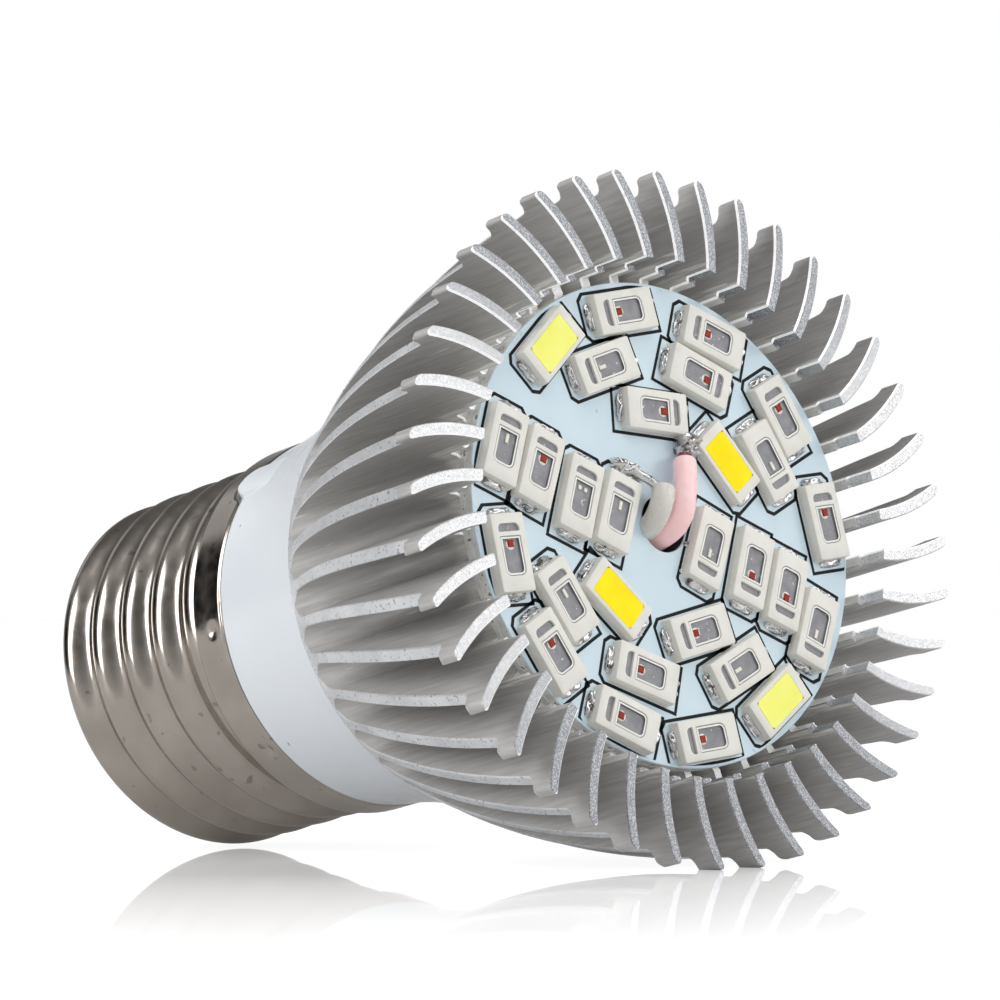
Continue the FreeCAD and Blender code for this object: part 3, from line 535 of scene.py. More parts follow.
def buildHeatSink():
    s = sink
    lip = nodeBox("heat_sink")[1][0]
    steps = [s["seatRadius"], s["recessRadius"] - s["nubWidth"], s["recessRadius"]]
    root = s["gapRoot"] + (s["gapFoot"] - s["gapRoot"]) * (1 - np.cos(np.linspace(0, np.pi / 2, 8)))
    fin = np.linspace(s["gapFoot"], s["shoulderRadius"], 24)
    tip = lip - s["tipRounding"] * (1 - np.sin(np.linspace(0, np.pi / 2, 8)))
    lipBand = np.linspace(s["shoulderRadius"], lip - s["tipRounding"], 6)
    lipBand[1:3] = s["shoulderRadius"] + 0.05, s["shoulderRadius"] + 0.14
    single = np.unique(np.concatenate([root, fin, lipBand, tip]).round(4))
    radii = np.sort(np.concatenate([single, steps, steps]))
    upper = np.zeros(len(radii), bool)
    for place in steps:
        at = np.flatnonzero(abs(radii - place) < 1e-6)
        upper[at[1:]] = True
    low, high = outerHeight(radii), frontHeightAt(radii, upper)
    near, far = gapSides(radii)

    def chainNormals(r, z):
        dr, dz = np.gradient(r), np.gradient(z)
        n = np.stack([dz, -dr], -1)
        return n / np.maximum(np.linalg.norm(n, axis=1), 1e-9)[:, None]

    lowNormal, highNormal = chainNormals(radii, low), -chainNormals(radii, high)
    share = np.linspace(0, 1, 7)[:, None]
    parts = []
    turns = s["bearing"] + 360.0 / s["fins"] * np.arange(s["fins"])

    def place(r, z, bearing):
        a = np.radians(bearing)
        return np.stack([r * np.cos(a), r * np.sin(a), z + 0 * a], -1)

    def addRepeated(points, flip, material):
        one = surface(points, flip=flip, material=material)
        parts.append(copies(one, rotated(one[0], turns)))

    def inward(normal, z, bevel):
        # a chamfer's width in from the edge, along the wall
        return np.maximum(radii - normal[:, 0] * bevel, s["gapRoot"]), z - normal[:, 1] * bevel

    for side, sign in ((0, 1), (1, -1)):
        # the wall of a gap, from its outer to its front edge; the near front edge gets a wider chamfer in a
        # white, glowing material, a painted glint
        rear = bevelAt(radii, s["chamfer"])
        front = bevelAt(radii, s["paintedGlintEdge"] if side == 0 else s["chamfer"])
        (lowR, lowZ), (highR, highZ) = inward(lowNormal, low, rear), inward(highNormal, high, front)
        wallR, wallZ = lowR + (highR - lowR) * share, lowZ + (highZ - lowZ) * share
        bearing = np.stack([gapSides(row)[side] for row in wallR])
        addRepeated(place(wallR, wallZ, bearing), side == 1, 2)
        edgeKind = 3 if side == 0 else 1
        for z, wr, wz, bevel, flip, material in ((low, lowR, lowZ, rear, side == 1, 0),
                                                 (high, highR, highZ, front, side == 0, edgeKind)):
            edge = (near, far)[side] - sign * np.degrees(bevel / radii)
            addRepeated(np.stack([place(radii, z, edge), place(wr, wz, gapSides(wr)[side])]), flip, material)

    # the turned skin of one fin and of the solid core behind it, across the fin from gap to gap
    pitch = 360.0 / s["fins"]
    across = np.linspace(0, 1, 5)[:, None]

    def skin(r, z, flip, material, nearEdge):
        a, b = gapSides(r)
        start = b - pitch + np.degrees(bevelAt(r, s["chamfer"]) / r)
        finish = a - np.degrees(bevelAt(r, nearEdge) / r)
        addRepeated(place(r, z, start + (finish - start) * across), flip, material)

    band = np.linspace(s["rearRadius"], s["gapRoot"], 5)
    outside = np.concatenate([outerHeight(band[:-1]), low])
    skin(np.concatenate([band[:-1], radii]), outside, False, 0, s["chamfer"])
    skin(np.array([lip, lip]), np.array([low[-1], frontHeight]), False, 2, s["chamfer"])
    # the fins' front is coarse; the cut roots inside the recess are bright
    inner = int(np.flatnonzero(high > high[0] + 0.2)[0])
    skin(radii[:inner + 1], high[:inner + 1], True, 4, s["paintedGlintEdge"])
    skin(radii[inner:], high[inner:], True, 1, s["paintedGlintEdge"])
    floor, middle = high[0], float(gapSides(band)[0][0])
    core = [(s["rearRadius"], collarFront), (s["boreRadius"], collarFront), (s["boreRadius"], floor),
            (s["gapRoot"], floor)]
    parts.append(turned(core, 4 * s["fins"], flip=True, start=s["bearing"] + middle))
    buildPiece("heat_sink_fins", parts, [turnedMetal, frontMetal, extrudedMetal, paintedGlintEdge, cutRoot],
               smooth=32.0, replaces=("heat_sink",))


# Screw shell: a rolled thread on a thin cup. The ridge's crest climbs one pitch a turn, so its height is
# crestFoot + pitch * (bearing - crestBearing) / 360. It fades in under the skirt and out at the nose.
shell = {
    "skirtRadius": 13.6, "skirtLength": 3.1, "crestRadius": 13.12, "rootRadius": 12.2, "pitch": 3.629,
    "crestFoot": -4.5, "crestBearing": 275.0, "threadEnd": -20.5, "noseRadius": 8.6, "wall": 0.45,
    "taper": (0.65, 19.2, 21.2),
    "fadeIn": (3.4, 5.2), "fadeOut": (19.5, 21.6), "lugBearing": 217.5, "notchHalf": 1.8, "notchDepth": 1.35,
    "dots": ((267.0, -1.15), (307.0, -1.0)), "dotRadius": 0.45, "dotDepth": 0.22,
}


def buildShell():
    s = shell
    a = np.linspace(0, 360, 320, endpoint=False)[None, :]
    z = np.concatenate([[0, -0.05, -0.12, -0.2], np.linspace(-0.3, -s["skirtLength"] - 0.9, 29),
                        np.linspace(-s["skirtLength"] - 1.0, s["threadEnd"], 140)])[:, None]
    # how many pitches a point lies below the first crest at its bearing
    below = (s["crestFoot"] - z) / s["pitch"] + (a - s["crestBearing"]) / 360.0
    near = np.round(below)
    crest = s["crestFoot"] - s["pitch"] * (near - (a - s["crestBearing"]) / 360.0)
    away = abs(below - near) * 2
    # rounded ridge with a slightly flat valley
    wave = 0.5 + 0.5 * np.cos(np.pi * away ** 1.12)
    height = smoothStep(-crest, *s["fadeIn"]) * (1 - smoothStep(-crest, *s["fadeOut"]))
    drop, dropStart, dropEnd = s["taper"]
    root = s["rootRadius"] - drop * smoothStep(-z, dropStart, dropEnd)
    thread = root + (s["crestRadius"] - root) * wave * height
    blend = smoothStep(z, -s["skirtLength"] - 0.75, -s["skirtLength"] + 0.1)
    radius = thread * (1 - blend) + s["skirtRadius"] * blend
    radius = radius - 0.1 * smoothStep(z, -0.2, 0.0)
    for bearing, level in s["dots"]:
        along = np.radians((a - bearing + 180) % 360 - 180) * s["skirtRadius"]
        far = np.hypot(along, z - level) / s["dotRadius"]
        radius = radius - s["dotDepth"] * np.exp(-far ** 2 * 1.5)
    arc = np.radians((a - s["lugBearing"] + 180) % 360 - 180) * s["skirtRadius"]
    depth = s["notchDepth"] * np.sqrt(np.clip(1 - (arc / s["notchHalf"]) ** 2, 0, 1))
    level = np.where(z > -s["skirtLength"], -depth + z * (1 - depth / s["skirtLength"]), z + 0 * a)
    ar = np.radians(a)
    outside = np.stack([radius * np.cos(ar), radius * np.sin(ar), level], -1)
    # the nose is nearly a cone, rounded a little at its start and at its end
    down = np.linspace(0, 1, 13)[1:, None]
    noseR = radius[-1:] + (s["noseRadius"] - radius[-1:]) * (0.8 * down + 0.2 * down ** 2)
    noseZ = s["threadEnd"] + (shellEnd - s["threadEnd"]) * (1.25 * down - 0.25 * down ** 2) + 0 * a
    nose = np.stack([noseR * np.cos(ar), noseR * np.sin(ar), noseZ], -1)
    # the inside, which is hardly seen, takes every second row; the count is odd, so that it has both ends
    inner = np.concatenate([outside, nose])[::-2].copy()
    flat = np.linalg.norm(inner[..., :2], axis=-1, keepdims=True)
    inner[..., :2] *= np.maximum(flat - s["wall"], 0.5) / flat
    inner[..., 2] = np.where(inner[..., 2] < s["threadEnd"], inner[..., 2] + s["wall"] * 0.9, inner[..., 2])
    points = np.concatenate([outside, nose, inner])
    wall = surface(points, closedRows=True, closedColumns=True)
    buildPiece("screw_shell_rolled", [wall], [nickelPlate], smooth=60.0,
               replaces=("screw_shell",))


# Collar: a flared band with a raised, rounded lug that keys into the shell's notch
band = {"rimRadius": 13.55, "waist": (14.35, 5.5), "frontRadius": 15.83, "lugBearing": 217.5, "lugHalf": 1.6,
        "lugTop": 6.4, "lugFoot": -1.25, "lugRadius": 13.88, "spigot": 13.05, "spigotTop": -1.5, "foot": -2.6,
        "sleeve": 13.75, "bore": 12.2}


def buildCollar():
    b = band
    columns = np.unique(np.concatenate([np.linspace(0, 360, 240, endpoint=False),
                                        b["lugBearing"] + np.linspace(-12, 12, 97)]).round(4))[None, :]
    a = np.radians(columns)
    # rows are closer together where the rim and the front edge turn
    z = np.concatenate([np.linspace(b["spigotTop"], -0.12, 14), [0.0, 0.055, 0.065, 0.1, 0.16],
                        np.linspace(0.3, 8.0, 40), np.linspace(8.2, collarFront - 0.12, 12),
                        [collarFront - 0.05, collarFront]])[:, None]
    fit = np.polyfit([0, b["waist"][1], collarFront], [b["rimRadius"], b["waist"][0], b["frontRadius"]], 2)
    body = np.polyval(fit, np.maximum(z, 0)) - 0.14 * smoothStep(-z, -0.2, 0.0) + 0 * a
    body = body - 0.1 * smoothStep(z, collarFront - 0.12, collarFront)
    body = np.where(z < 0.06, b["spigot"], body)
    arc = np.radians((columns - b["lugBearing"] + 180) % 360 - 180) * b["lugRadius"]
    # distance outside a rounded slot from the foot's centre to the top's centre
    low, high = b["lugFoot"] + b["lugHalf"], b["lugTop"] - b["lugHalf"]
    away = np.hypot(arc, z - np.clip(z, low, high)) - b["lugHalf"]
    raised = smoothStep(-away, -0.05, 0.32)
    lugFace = b["lugRadius"] + 0.12 * smoothStep(z, 0.0, 5.0)
    radius = np.maximum(body, body + (lugFace - body) * raised)
    # the sleeve inside the heat sink, the bore and the spigot's foot
    sleeve = nodeBox("collar")[1][2]
    hidden = np.array([(b["sleeve"], collarFront), (b["sleeve"], sleeve), (b["bore"], sleeve),
                       (b["bore"], b["foot"]), (b["spigot"], b["foot"])])
    radius = np.concatenate([radius, hidden[:, :1] + 0 * a])
    z = np.concatenate([z, hidden[:, 1:]])
    points = np.stack([radius * np.cos(a), radius * np.sin(a), z + 0 * a], -1)
    wall = surface(points, closedRows=True, closedColumns=True, flip=True)
    buildPiece("collar_moulded", [wall], [collarPlastic], smooth=40.0, replaces=("collar",))


buildHeatSink()
buildShell()
buildCollar()
print("metal and collar built")


# Emitters: a moulded housing with a stepped window round the chip, a divider bar and a half-moon wire pad.
# Each turn is the bearing in which the wire pad points.
emitter = {
    "halfLength": 2.65, "halfWidth": 1.425, "draft": 0.05, "bevel": 0.07, "corner": 0.12, "height": 0.85,
    "window": (-1.6, 1.12, 0.92), "windowCorner": 0.5, "windowDepth": 0.17, "divider": 1.24,
    "padRecess": (1.40, 1.97, 0.92), "padDepth": 0.16, "fill": (-1.95, 1.95, 1.1), "fillCorner": 0.42,
    "redSide": 0.5, "redPlace": 0.6, "cement": 0.38, "clearPlace": 0.45,
    "turns": {1: -55, 2: -87, 3: -118, 4: -160, 5: -179, 6: -32, 7: -62, 8: -89, 9: -120, 10: -157, 11: 178,
              12: 151, 13: -79, 14: 60, 15: 20, 16: -29, 17: -71, 18: -116, 19: -157, 20: 149, 21: 79, 22: 31,
              23: -29, 24: -83, 25: 39, 26: 151, 27: 150, 28: -32},
    "lemon": (1, 7), "golden": (22, 25), "clear": (6, 12, 13, 15, 17, 19, 26, 27, 28), "pairs": (26,),
}


def cornerLoop(x0, x1, y0, y1, z, radii, steps=4):
    # a rectangle with rounded corners, counter-clockwise from the corner (x1, y0)
    points = []
    for (cx, cy), (sx, sy), start, r in zip(((x1, y0), (x1, y1), (x0, y1), (x0, y0)),
                                           ((-1, 1), (-1, -1), (1, -1), (1, 1)), (-90, 0, 90, 180), radii):
        a = np.radians(start + 90 * np.arange(steps + 1) / steps)
        points.append(np.stack([cx + sx * r + r * np.cos(a), cy + sy * r + r * np.sin(a), 0 * a + z], -1))
    return np.concatenate(points)


def closeLoop(loop, z=None):
    middle = loop.mean(0, keepdims=True)
    if z is not None:
        middle[:, 2] = z
    return np.repeat(middle, len(loop), 0)


def recess(x0, x1, halfY, radii, steps):
    # loops going inward and down: steps = (inset, z)
    return [cornerLoop(x0 + i, x1 - i, -halfY + i, halfY - i, z, [max(r - i, 0.0) for r in radii])
            for i, z in steps]


def housingParts(kind):
    e = emitter
    hx, hy, top, c = e["halfLength"], e["halfWidth"], e["height"], e["corner"]
    bevel = e["bevel"]
    outer = ((-e["draft"], 0.0), (0.0, top - bevel), (bevel * 0.35, top - bevel * 0.3), (bevel, top))
    parts = []

    def add(loops, material=0):
        parts.append(surface(np.stack(loops), closedColumns=True, flip=True, material=material))

    if kind in ("lemon", "golden"):
        loops = [cornerLoop(-hx + i, hx - i, -hy + i, hy - i, z, [c] * 4) for i, z in outer]
        add([closeLoop(loops[0])] + loops)
        x0, x1, fy = e["fill"]
        radii = (e["fillCorner"], e["fillCorner"], e["fillCorner"], 0.12)
        rim = recess(x0, x1, fy, radii, ((-0.05, top), (0.0, top - 0.05)))
        fill = recess(x0, x1, fy, radii, ((0.0, top - 0.05), (0.15, top - 0.035)))
        add([loops[-1]] + rim)
        add(fill + [closeLoop(fill[-1], top - 0.03)], 1)
        return parts
    split = e["divider"]
    halves = (
        ((-hx, split), (0.0, 0.0, c, c), e["window"], (0.12, 0.12, e["windowCorner"], e["windowCorner"]), 1),
        ((split, hx), (c, c, 0.0, 0.0), e["padRecess"], (0.36, 0.36, 0.05, 0.05), -1),
    )
    for (x0, x1), corners, (w0, w1, wy), radii, side in halves:
        loops = []
        for inset, z in outer:
            left = x0 + (inset if side > 0 else 0.0)
            right = x1 - (inset if side < 0 else 0.0)
            loop = cornerLoop(left, right, -hy + inset, hy - inset, z, corners)
            loops.append(loop)
        stack = np.stack(loops)
        per = stack.shape[1] // 4
        # the side wall leaves out the line where the two halves meet
        order = np.roll(stack, -per if side > 0 else -3 * per, axis=1)
        parts.append(surface(order, flip=True))
        add([closeLoop(loops[0]), loops[0]])
        if side > 0:
            # a groove, the raised ring round the window and the window's floor
            floor = top - e["windowDepth"]
            steps = ((0.0, top), (0.02, top - 0.07), (0.07, top - 0.08), (0.09, top - 0.03),
                     (0.2, top - 0.03), (0.22, floor + 0.01), (0.27, floor))
            holes = recess(w0, w1, wy, radii, steps)
            add([loops[-1], holes[0]])
            for index, material in enumerate((0, 2, 1, 1, 2, 2)):
                add(holes[index:index + 2], material)
            add([holes[-1], closeLoop(holes[-1])], 2)
        else:
            floor = top - e["padDepth"]
            holes = recess(w0, w1, wy, radii, ((0.0, top), (0.02, floor + 0.01), (0.1, floor)))
            add([loops[-1], holes[0]])
            add(holes[:2])
            add(holes[1:] + [closeLoop(holes[-1])], 2)
    return parts


def emitterPlace(number):
    low, high = nodeBox("led_%02d" % number)
    return (low[0] + high[0]) / 2, (low[1] + high[1]) / 2, math.radians(emitter["turns"][number])


def placed(points, number):
    # from an emitter's own axes to the bulb's
    x, y, turn = emitterPlace(number)
    out = points.copy()
    out[..., 0] = x + points[..., 0] * math.cos(turn) - points[..., 1] * math.sin(turn)
    out[..., 1] = y + points[..., 0] * math.sin(turn) + points[..., 1] * math.cos(turn)
    out[..., 2] = points[..., 2] + boardTop
    return out


def kindOf(number):
    for kind in ("lemon", "golden", "clear"):
        if number in emitter[kind]:
            return kind
    return "red"


def buildEmitters():
    fills = {"lemon": lemonFillPaintedGlow, "golden": goldenFillPaintedGlow}
    for number in range(1, 29):
        kind = kindOf(number)
        parts = [(placed(p, number), q, m) for p, q, m in housingParts(kind)]
        second = fills.get(kind, windowRing)
        buildPiece("led_%02d_housing" % number, parts, [housingPlastic, second, leadFrame],
                   smooth=38.0, replaces=("led_%02d" % number,))


def blockLoops(x0, x1, y0, y1, z0, z1, bevel=0.03):
    # a small block with softened edges, closed at top and bottom
    rows = [(0.0, z0), (0.0, z1 - bevel), (bevel, z1)]
    loops = [cornerLoop(x0 + i, x1 - i, y0 + i, y1 - i, z, [bevel] * 4, steps=2) for i, z in rows]
    return np.stack([closeLoop(loops[0])] + loops + [closeLoop(loops[-1])])


def buildChips():
    e = emitter
    floor = e["height"] - e["windowDepth"]
    red, clear, bonds = [], [], []
    for number in range(1, 29):
        kind = kindOf(number)
        if kind == "red":
            h = e["redSide"] / 2
            parts = blockLoops(e["redPlace"] - h, e["redPlace"] + h, -h, h, floor - 0.01, floor + 0.13)
            red.append(surface(placed(parts, number), closedColumns=True, flip=True))
            # a low round of white cement under the chip
            a = np.linspace(0, 2 * np.pi, 22, endpoint=False)[None, :]
            up = np.linspace(0, np.pi / 2, 6)[:, None]
            r = e["cement"] * np.cos(up)
            dome = np.stack([e["redPlace"] - 0.05 + r * np.cos(a), r * np.sin(a),
                             floor + 0.05 * np.sin(up) + 0 * a], -1)
            dome = np.concatenate([closeLoop(dome[0])[None], dome])
            bonds.append(surface(placed(dome, number), closedColumns=True, flip=True))
        elif kind == "clear":
            x = e["clearPlace"]
            # one long crystal, or two small ones side by side
            long, pair = ((x - 0.35, x + 0.3, 0.0),), ((x - 0.1, x + 0.2, 0.28), (x - 0.1, x + 0.2, -0.22))
            for x0, x1, y in pair if number in e["pairs"] else long:
                parts = blockLoops(x0, x1, y - 0.13, y + 0.13, floor - 0.01, floor + 0.1)
                clear.append(surface(placed(parts, number), closedColumns=True, flip=True))
    buildPiece("red_chips_fine", red, [redCrystal], replaces=("red_chips",))
    buildPiece("clear_chips_fine", clear, [clearCrystal], replaces=("blue_chips",))
    buildPiece("chip_cement", bonds, [windowRing])


# Crumpled solder: a low dome over a rounded rectangle, its height broken by several crossed waves
def solderDome(length, width, height, seed, rows=10, columns=28, rough=0.34):
    rng = np.random.default_rng(seed)
    t = np.linspace(0, 1, rows)[:, None]
    a = np.linspace(0, 2 * np.pi, columns, endpoint=False)[None, :]
    # superellipse footprint, drawn in towards the top
    c, s = np.cos(a), np.sin(a)
    edge = (abs(c) ** 3 + abs(s) ** 3) ** (-1 / 3)
    reach = edge * (1 - t ** 2) ** 0.5
    x, y = length / 2 * reach * c, width / 2 * reach * s
    waves = sum(rng.normal() * np.sin(x * rng.uniform(3, 9) + y * rng.uniform(-9, 9) + rng.uniform(0, 6.3))
                for _ in range(6)) / 6 ** 0.5
    z = height * (np.sin(t * np.pi / 2) * (1 + rough * waves)) + 0 * a
    z[-1] = z[-1].mean()
    dome = np.stack([x + 0.04 * waves * (t > 0), y + 0.04 * waves * (t > 0), np.maximum(z, 0)], -1)
    return np.concatenate([np.zeros((1, columns, 3)), dome])


# tab: length, half width, height; fillet: length, width, height; how far out the fillet's middle lies
terminal = {"tab": (0.17, 0.95, 0.34), "fillet": (0.62, 1.95, 0.33), "out": 0.22, "rough": 0.45}


def buildTerminals():
    e, t = emitter, terminal
    reach, half, high = t["tab"]
    parts = []
    for number in range(1, 29):
        for side in (-1, 1):
            # plated tab bent down the housing's end, and the solder fillet outside it
            start = e["halfLength"] + e["draft"] - 0.02
            tab = blockLoops(start, e["halfLength"] + reach, -half, half, 0.0, high, 0.04)
            tab[..., 0] *= side
            parts.append(surface(placed(tab, number), closedColumns=True, flip=side > 0))
            dome = solderDome(*t["fillet"], number * 2 + side, rough=t["rough"])
            dome[..., 0] = side * (dome[..., 0] + e["halfLength"] + t["out"])
            parts.append(surface(placed(dome, number), closedColumns=True, flip=side > 0))
    buildPiece("led_terminals_soldered", parts, [solderTin], smooth=42.0,
               replaces=("led_terminals",))


# Printed outlines round each emitter, chamfered at the pad end
silk = {"halfX": 3.42, "halfY": 1.66, "chamfer": 0.45, "line": 0.23, "rise": 0.012, "lift": 0.002}


def outlineLoop(grow):
    s = silk
    x, y, c = s["halfX"] + grow, s["halfY"] + grow, s["chamfer"] + grow * 0.414
    return np.array([(x - c, -y), (x, -y + c), (x, y - c), (x - c, y), (-x, y), (-x, -y)])


def buildSilk():
    s = silk
    parts = []
    half = s["line"] / 2
    for number in range(1, 29):
        rows = []
        for grow, z in ((half, s["lift"]), (half, s["rise"]), (-half, s["rise"]), (-half, s["lift"])):
            loop = outlineLoop(grow)
            # short lengths, so that the line's edge can waver a little
            finer = np.concatenate([np.linspace(loop[i], loop[(i + 1) % len(loop)], 12, endpoint=False)
                                    for i in range(len(loop))])
            rows.append(np.concatenate([finer, np.full((len(finer), 1), z)], 1))
        rows = placed(np.stack(rows), number)
        # the print stops short of the board's edge
        reach = np.linalg.norm(rows[..., :2], axis=-1, keepdims=True)
        limit = boardRadius - 0.2
        rows[..., :2] *= np.minimum(1.0, limit / reach)
        parts.append(surface(rows, closedRows=True, closedColumns=True, flip=True))
    buildPiece("board_print", parts, [printInk])


# Board: a stamped metal-core disc. The mask covers its top; its edge is bare, smooth above and torn below.
board = {"hole": 1.95, "bevel": 0.05, "mask": 0.1, "torn": 0.42, "groove": 0.05, "steps": 256}


def buildBoard():
    b = board
    low = nodeBox("led_board")[0][2]
    r, h, v = boardRadius, b["hole"], b["bevel"]
    split = low + (boardTop - low) * b["torn"]
    top = turned([(r - 0.02, boardTop - b["mask"]), (r, boardTop - v), (r - v, boardTop), (h + v, boardTop),
                  (h, boardTop - b["mask"])], b["steps"])
    edge = turned([(h, low), (r - v, low), (r - 0.03, low + v), (r, split - 0.04), (r - b["groove"], split),
                   (r - 0.01, split + 0.05), (r - 0.01, boardTop - b["mask"] - 0.04),
                   (r - 0.04, boardTop - b["mask"] - 0.02), (r - 0.02, boardTop - b["mask"])],
                  b["steps"], material=1)
    # the bore's wall takes the black material: painted shade inside the hole
    bore = turned([(h, boardTop - b["mask"]), (h, low)], b["steps"], material=2)
    buildPiece("led_board_masked", [top, edge, bore], [boardMask, boardCore, blackBody],
               smooth=35.0, replaces=("led_board",))


# Leads: round insulation swept along a smooth path, from the joint, over, and down the centre hole
leads = {
    "radius": 0.8, "endRadius": 0.93, "fixed": (0.45, 0.89, 0.05),
    "pink": ((-3.95, 2.1, 1.1), (-3.0, 1.65, 1.35), (-1.7, 1.1, 1.5), (-0.6, 0.75, 1.35),
             (0.3, 0.35, 0.75), (0.8, 0.0, -0.4), (0.95, -0.1, -2.2), (0.8, 0.3, -6.0)),
    "white": ((-2.2, -0.72, 1.42), (-1.6, -1.05, 1.55), (-0.8, -1.35, 1.3), (-0.1, -1.45, 0.5),
              (0.25, -1.35, -0.8), (0.1, -1.1, -3.0), (-0.2, -1.0, -6.0)),
}


def smoothPath(points, steps):
    # Catmull-Rom curve through the points
    p = np.asarray(points, float)
    p = np.concatenate([2 * p[:1] - p[1:2], p, 2 * p[-1:] - p[-2:-1]])
    t = np.linspace(0, 1, steps, endpoint=False)[:, None]
    runs = [0.5 * (2 * b + (c - a) * t + (2 * a - 5 * b + 4 * c - d) * t ** 2
                   + (3 * b - a - 3 * c + d) * t ** 3)
            for a, b, c, d in zip(p[:-3], p[1:-2], p[2:-1], p[3:])]
    return np.concatenate(runs + [p[-2:-1]])


def sweep(path, radius, sides=28):
    # circles square to the path, p + r (u cos a + v sin a); a fixed direction keeps u and v from twisting
    along = np.gradient(path, axis=0)
    along /= np.linalg.norm(along, axis=1, keepdims=True)
    fixed = np.array(leads["fixed"])
    first = fixed - along * (along @ fixed)[:, None]
    first /= np.linalg.norm(first, axis=1, keepdims=True)
    second = np.cross(along, first)
    a = np.linspace(0, 2 * np.pi, sides, endpoint=False)
    r = np.broadcast_to(np.asarray(radius, float).reshape(-1, 1, 1), (len(path), 1, 1))
    u, v = first[:, None], second[:, None]
    rings = path[:, None] + r * (u * np.cos(a)[None, :, None] + v * np.sin(a)[None, :, None])
    ends = [np.repeat(path[i:i + 1, None], sides, 1) for i in (0, len(path) - 1)]
    return np.concatenate([ends[0], rings, ends[1]])


def buildLeads():
    for key, material in (("pink", pinkInsulationPaintedGlow), ("white", whiteInsulation)):
        path = smoothPath(leads[key], 10) + np.array([0, 0, boardTop])
        radius = np.full(len(path), leads["radius"])
        radius[0] *= leads["endRadius"]
        lead = surface(sweep(path, radius), closedColumns=True, flip=True)
        buildPiece("lead_%s_bent" % key, [lead], [material], smooth=50.0,
                   replaces=("lead_%s" % key,))


joints = {
    "pinkPlace": (-5.06, 3.3), "pinkSize": (1.9, 1.85, 1.15), "pinkTurn": -20.0, "collar": 0.5,
    "whitePlace": (-3.95, -2.45), "whiteSize": (2.9, 1.0, 0.8), "whiteTurn": 61.0, "strand": 0.32,
    "balls": ((1.6, 1.6, 0.42), (3.4, 0.6, 0.34), (-0.6, 3.6, 0.28)),
}


def buildJoints():
    j = joints
    parts = []
    for key in ("pink", "white"):
        x, y = j[key + "Place"]
        dome = solderDome(*j[key + "Size"], 7 if key == "pink" else 12, rows=18, columns=56, rough=0.26)
        turn = math.radians(j[key + "Turn"])
        moved = dome.copy()
        moved[..., 0] = x + dome[..., 0] * math.cos(turn) - dome[..., 1] * math.sin(turn)
        moved[..., 1] = y + dome[..., 0] * math.sin(turn) + dome[..., 1] * math.cos(turn)
        moved[..., 2] += boardTop
        parts.append(surface(moved, closedColumns=True, flip=True))
        # bare strand between the insulation and the solder
        start, after = (np.array(point) for point in leads[key][:2])
        path = smoothPath([(x, y, 0.3), (start + [x, y, 0.5]) / 2, start + 0.25 * (after - start)], 8)
        parts.append(surface(sweep(path + [0, 0, boardTop], j["strand"]), closedColumns=True, flip=True))
    # the pink insulation ends in a ring scorched by the iron
    start, after = (np.array(point) for point in leads["pink"][:2])
    ring = start + np.linspace(-0.42, 0.06, 6)[:, None] * (after - start) / np.linalg.norm(after - start)
    ring = sweep(ring + [0, 0, boardTop], j["collar"])
    parts.append(surface(ring, closedColumns=True, flip=True, material=1))
    for seed, (x, y, size) in enumerate(j["balls"]):
        # loose solder splashes
        ball = solderDome(size, size, size * 0.6, 30 + seed, rows=8, columns=20, rough=0.1)
        parts.append(surface(ball + [x, y, boardTop], closedColumns=True, flip=True))
    buildPiece("solder_joints_melted", parts, [solderTin, burntFlux], smooth=40.0,
               replaces=("solder_joints",))


buildEmitters()
buildChips()
buildTerminals()
buildSilk()
buildBoard()
buildLeads()
buildJoints()
print("board and emitters built")


# Floor, light and camera. Directions are given as seen from the photo's viewpoint:
# azimuth 0 towards the viewer, 90 to the right, 180 behind the bulb.
view = {
    "turn": (1.8832, 1.5899, 0.4908), "shift": (12.731, 1.0422, 382.8752), "focal": 5692.3, "lipFront": 34.55,
    "contactBearing": -5.0, "lipRadius": 24.1, "crestRadius": 13.1, "crestHeight": -19.4,
}
turnAxis = Vector(view["turn"])
axes = np.array(Matrix.Rotation(turnAxis.length, 3, turnAxis.normalized()))
rightAxis, downAxis, awayAxis = axes


def placeCamera():
    place = (-(np.array(view["shift"]) @ axes) + np.array([0, 0, view["lipFront"]])) * mm
    data = bpy.data.cameras.new("photoCamera")
    data.sensor_width = 36.0
    data.lens = view["focal"] * 36.0 / 1000.0
    data.clip_start, data.clip_end = 0.01, 20.0
    camera = bpy.data.objects.new("photoCamera", data)
    bpy.context.scene.collection.objects.link(camera)
    basis = np.stack([rightAxis, -downAxis, -awayAxis], 1)
    camera.matrix_world = Matrix.Translation(Vector(place)) @ Matrix(basis.tolist()).to_4x4()
    bpy.context.scene.camera = camera
    return place


cameraPlace = placeCamera()


def restingPlane():
    # touches the lip's front circle and the last thread crest on the contact bearing
    v = view
    bearing = math.radians(v["contactBearing"])
    out = np.array([math.cos(bearing), math.sin(bearing), 0.0])
    rise = frontHeight - v["crestHeight"]
    reach = v["lipRadius"] - v["crestRadius"]
    length = math.hypot(rise, reach)
    # outward normal in the meridian: square to the line from the crest to the lip
    normal = (out * rise - np.array([0, 0, 1.0]) * reach) / length
    touch = out * v["lipRadius"] + np.array([0, 0, frontHeight])
    return -normal, touch * mm


floorUp, floorTouch = restingPlane()


def mixShaders(tree, factor, first, second):
    made = tree.nodes.new("ShaderNodeMixShader")
    if isinstance(factor, float):
        made.inputs[0].default_value = factor
    else:
        tree.links.new(factor, made.inputs[0])
    tree.links.new(first, made.inputs[1])
    tree.links.new(second, made.inputs[2])
    return made.outputs[0]


stage = {"size": 2.6, "ghost": 0.66, "fadeLength": 0.155, "plain": 0.72, "bounce": 0.09, "seen": 0.8,
         "unseen": 0.64, "mirror": 0.02}


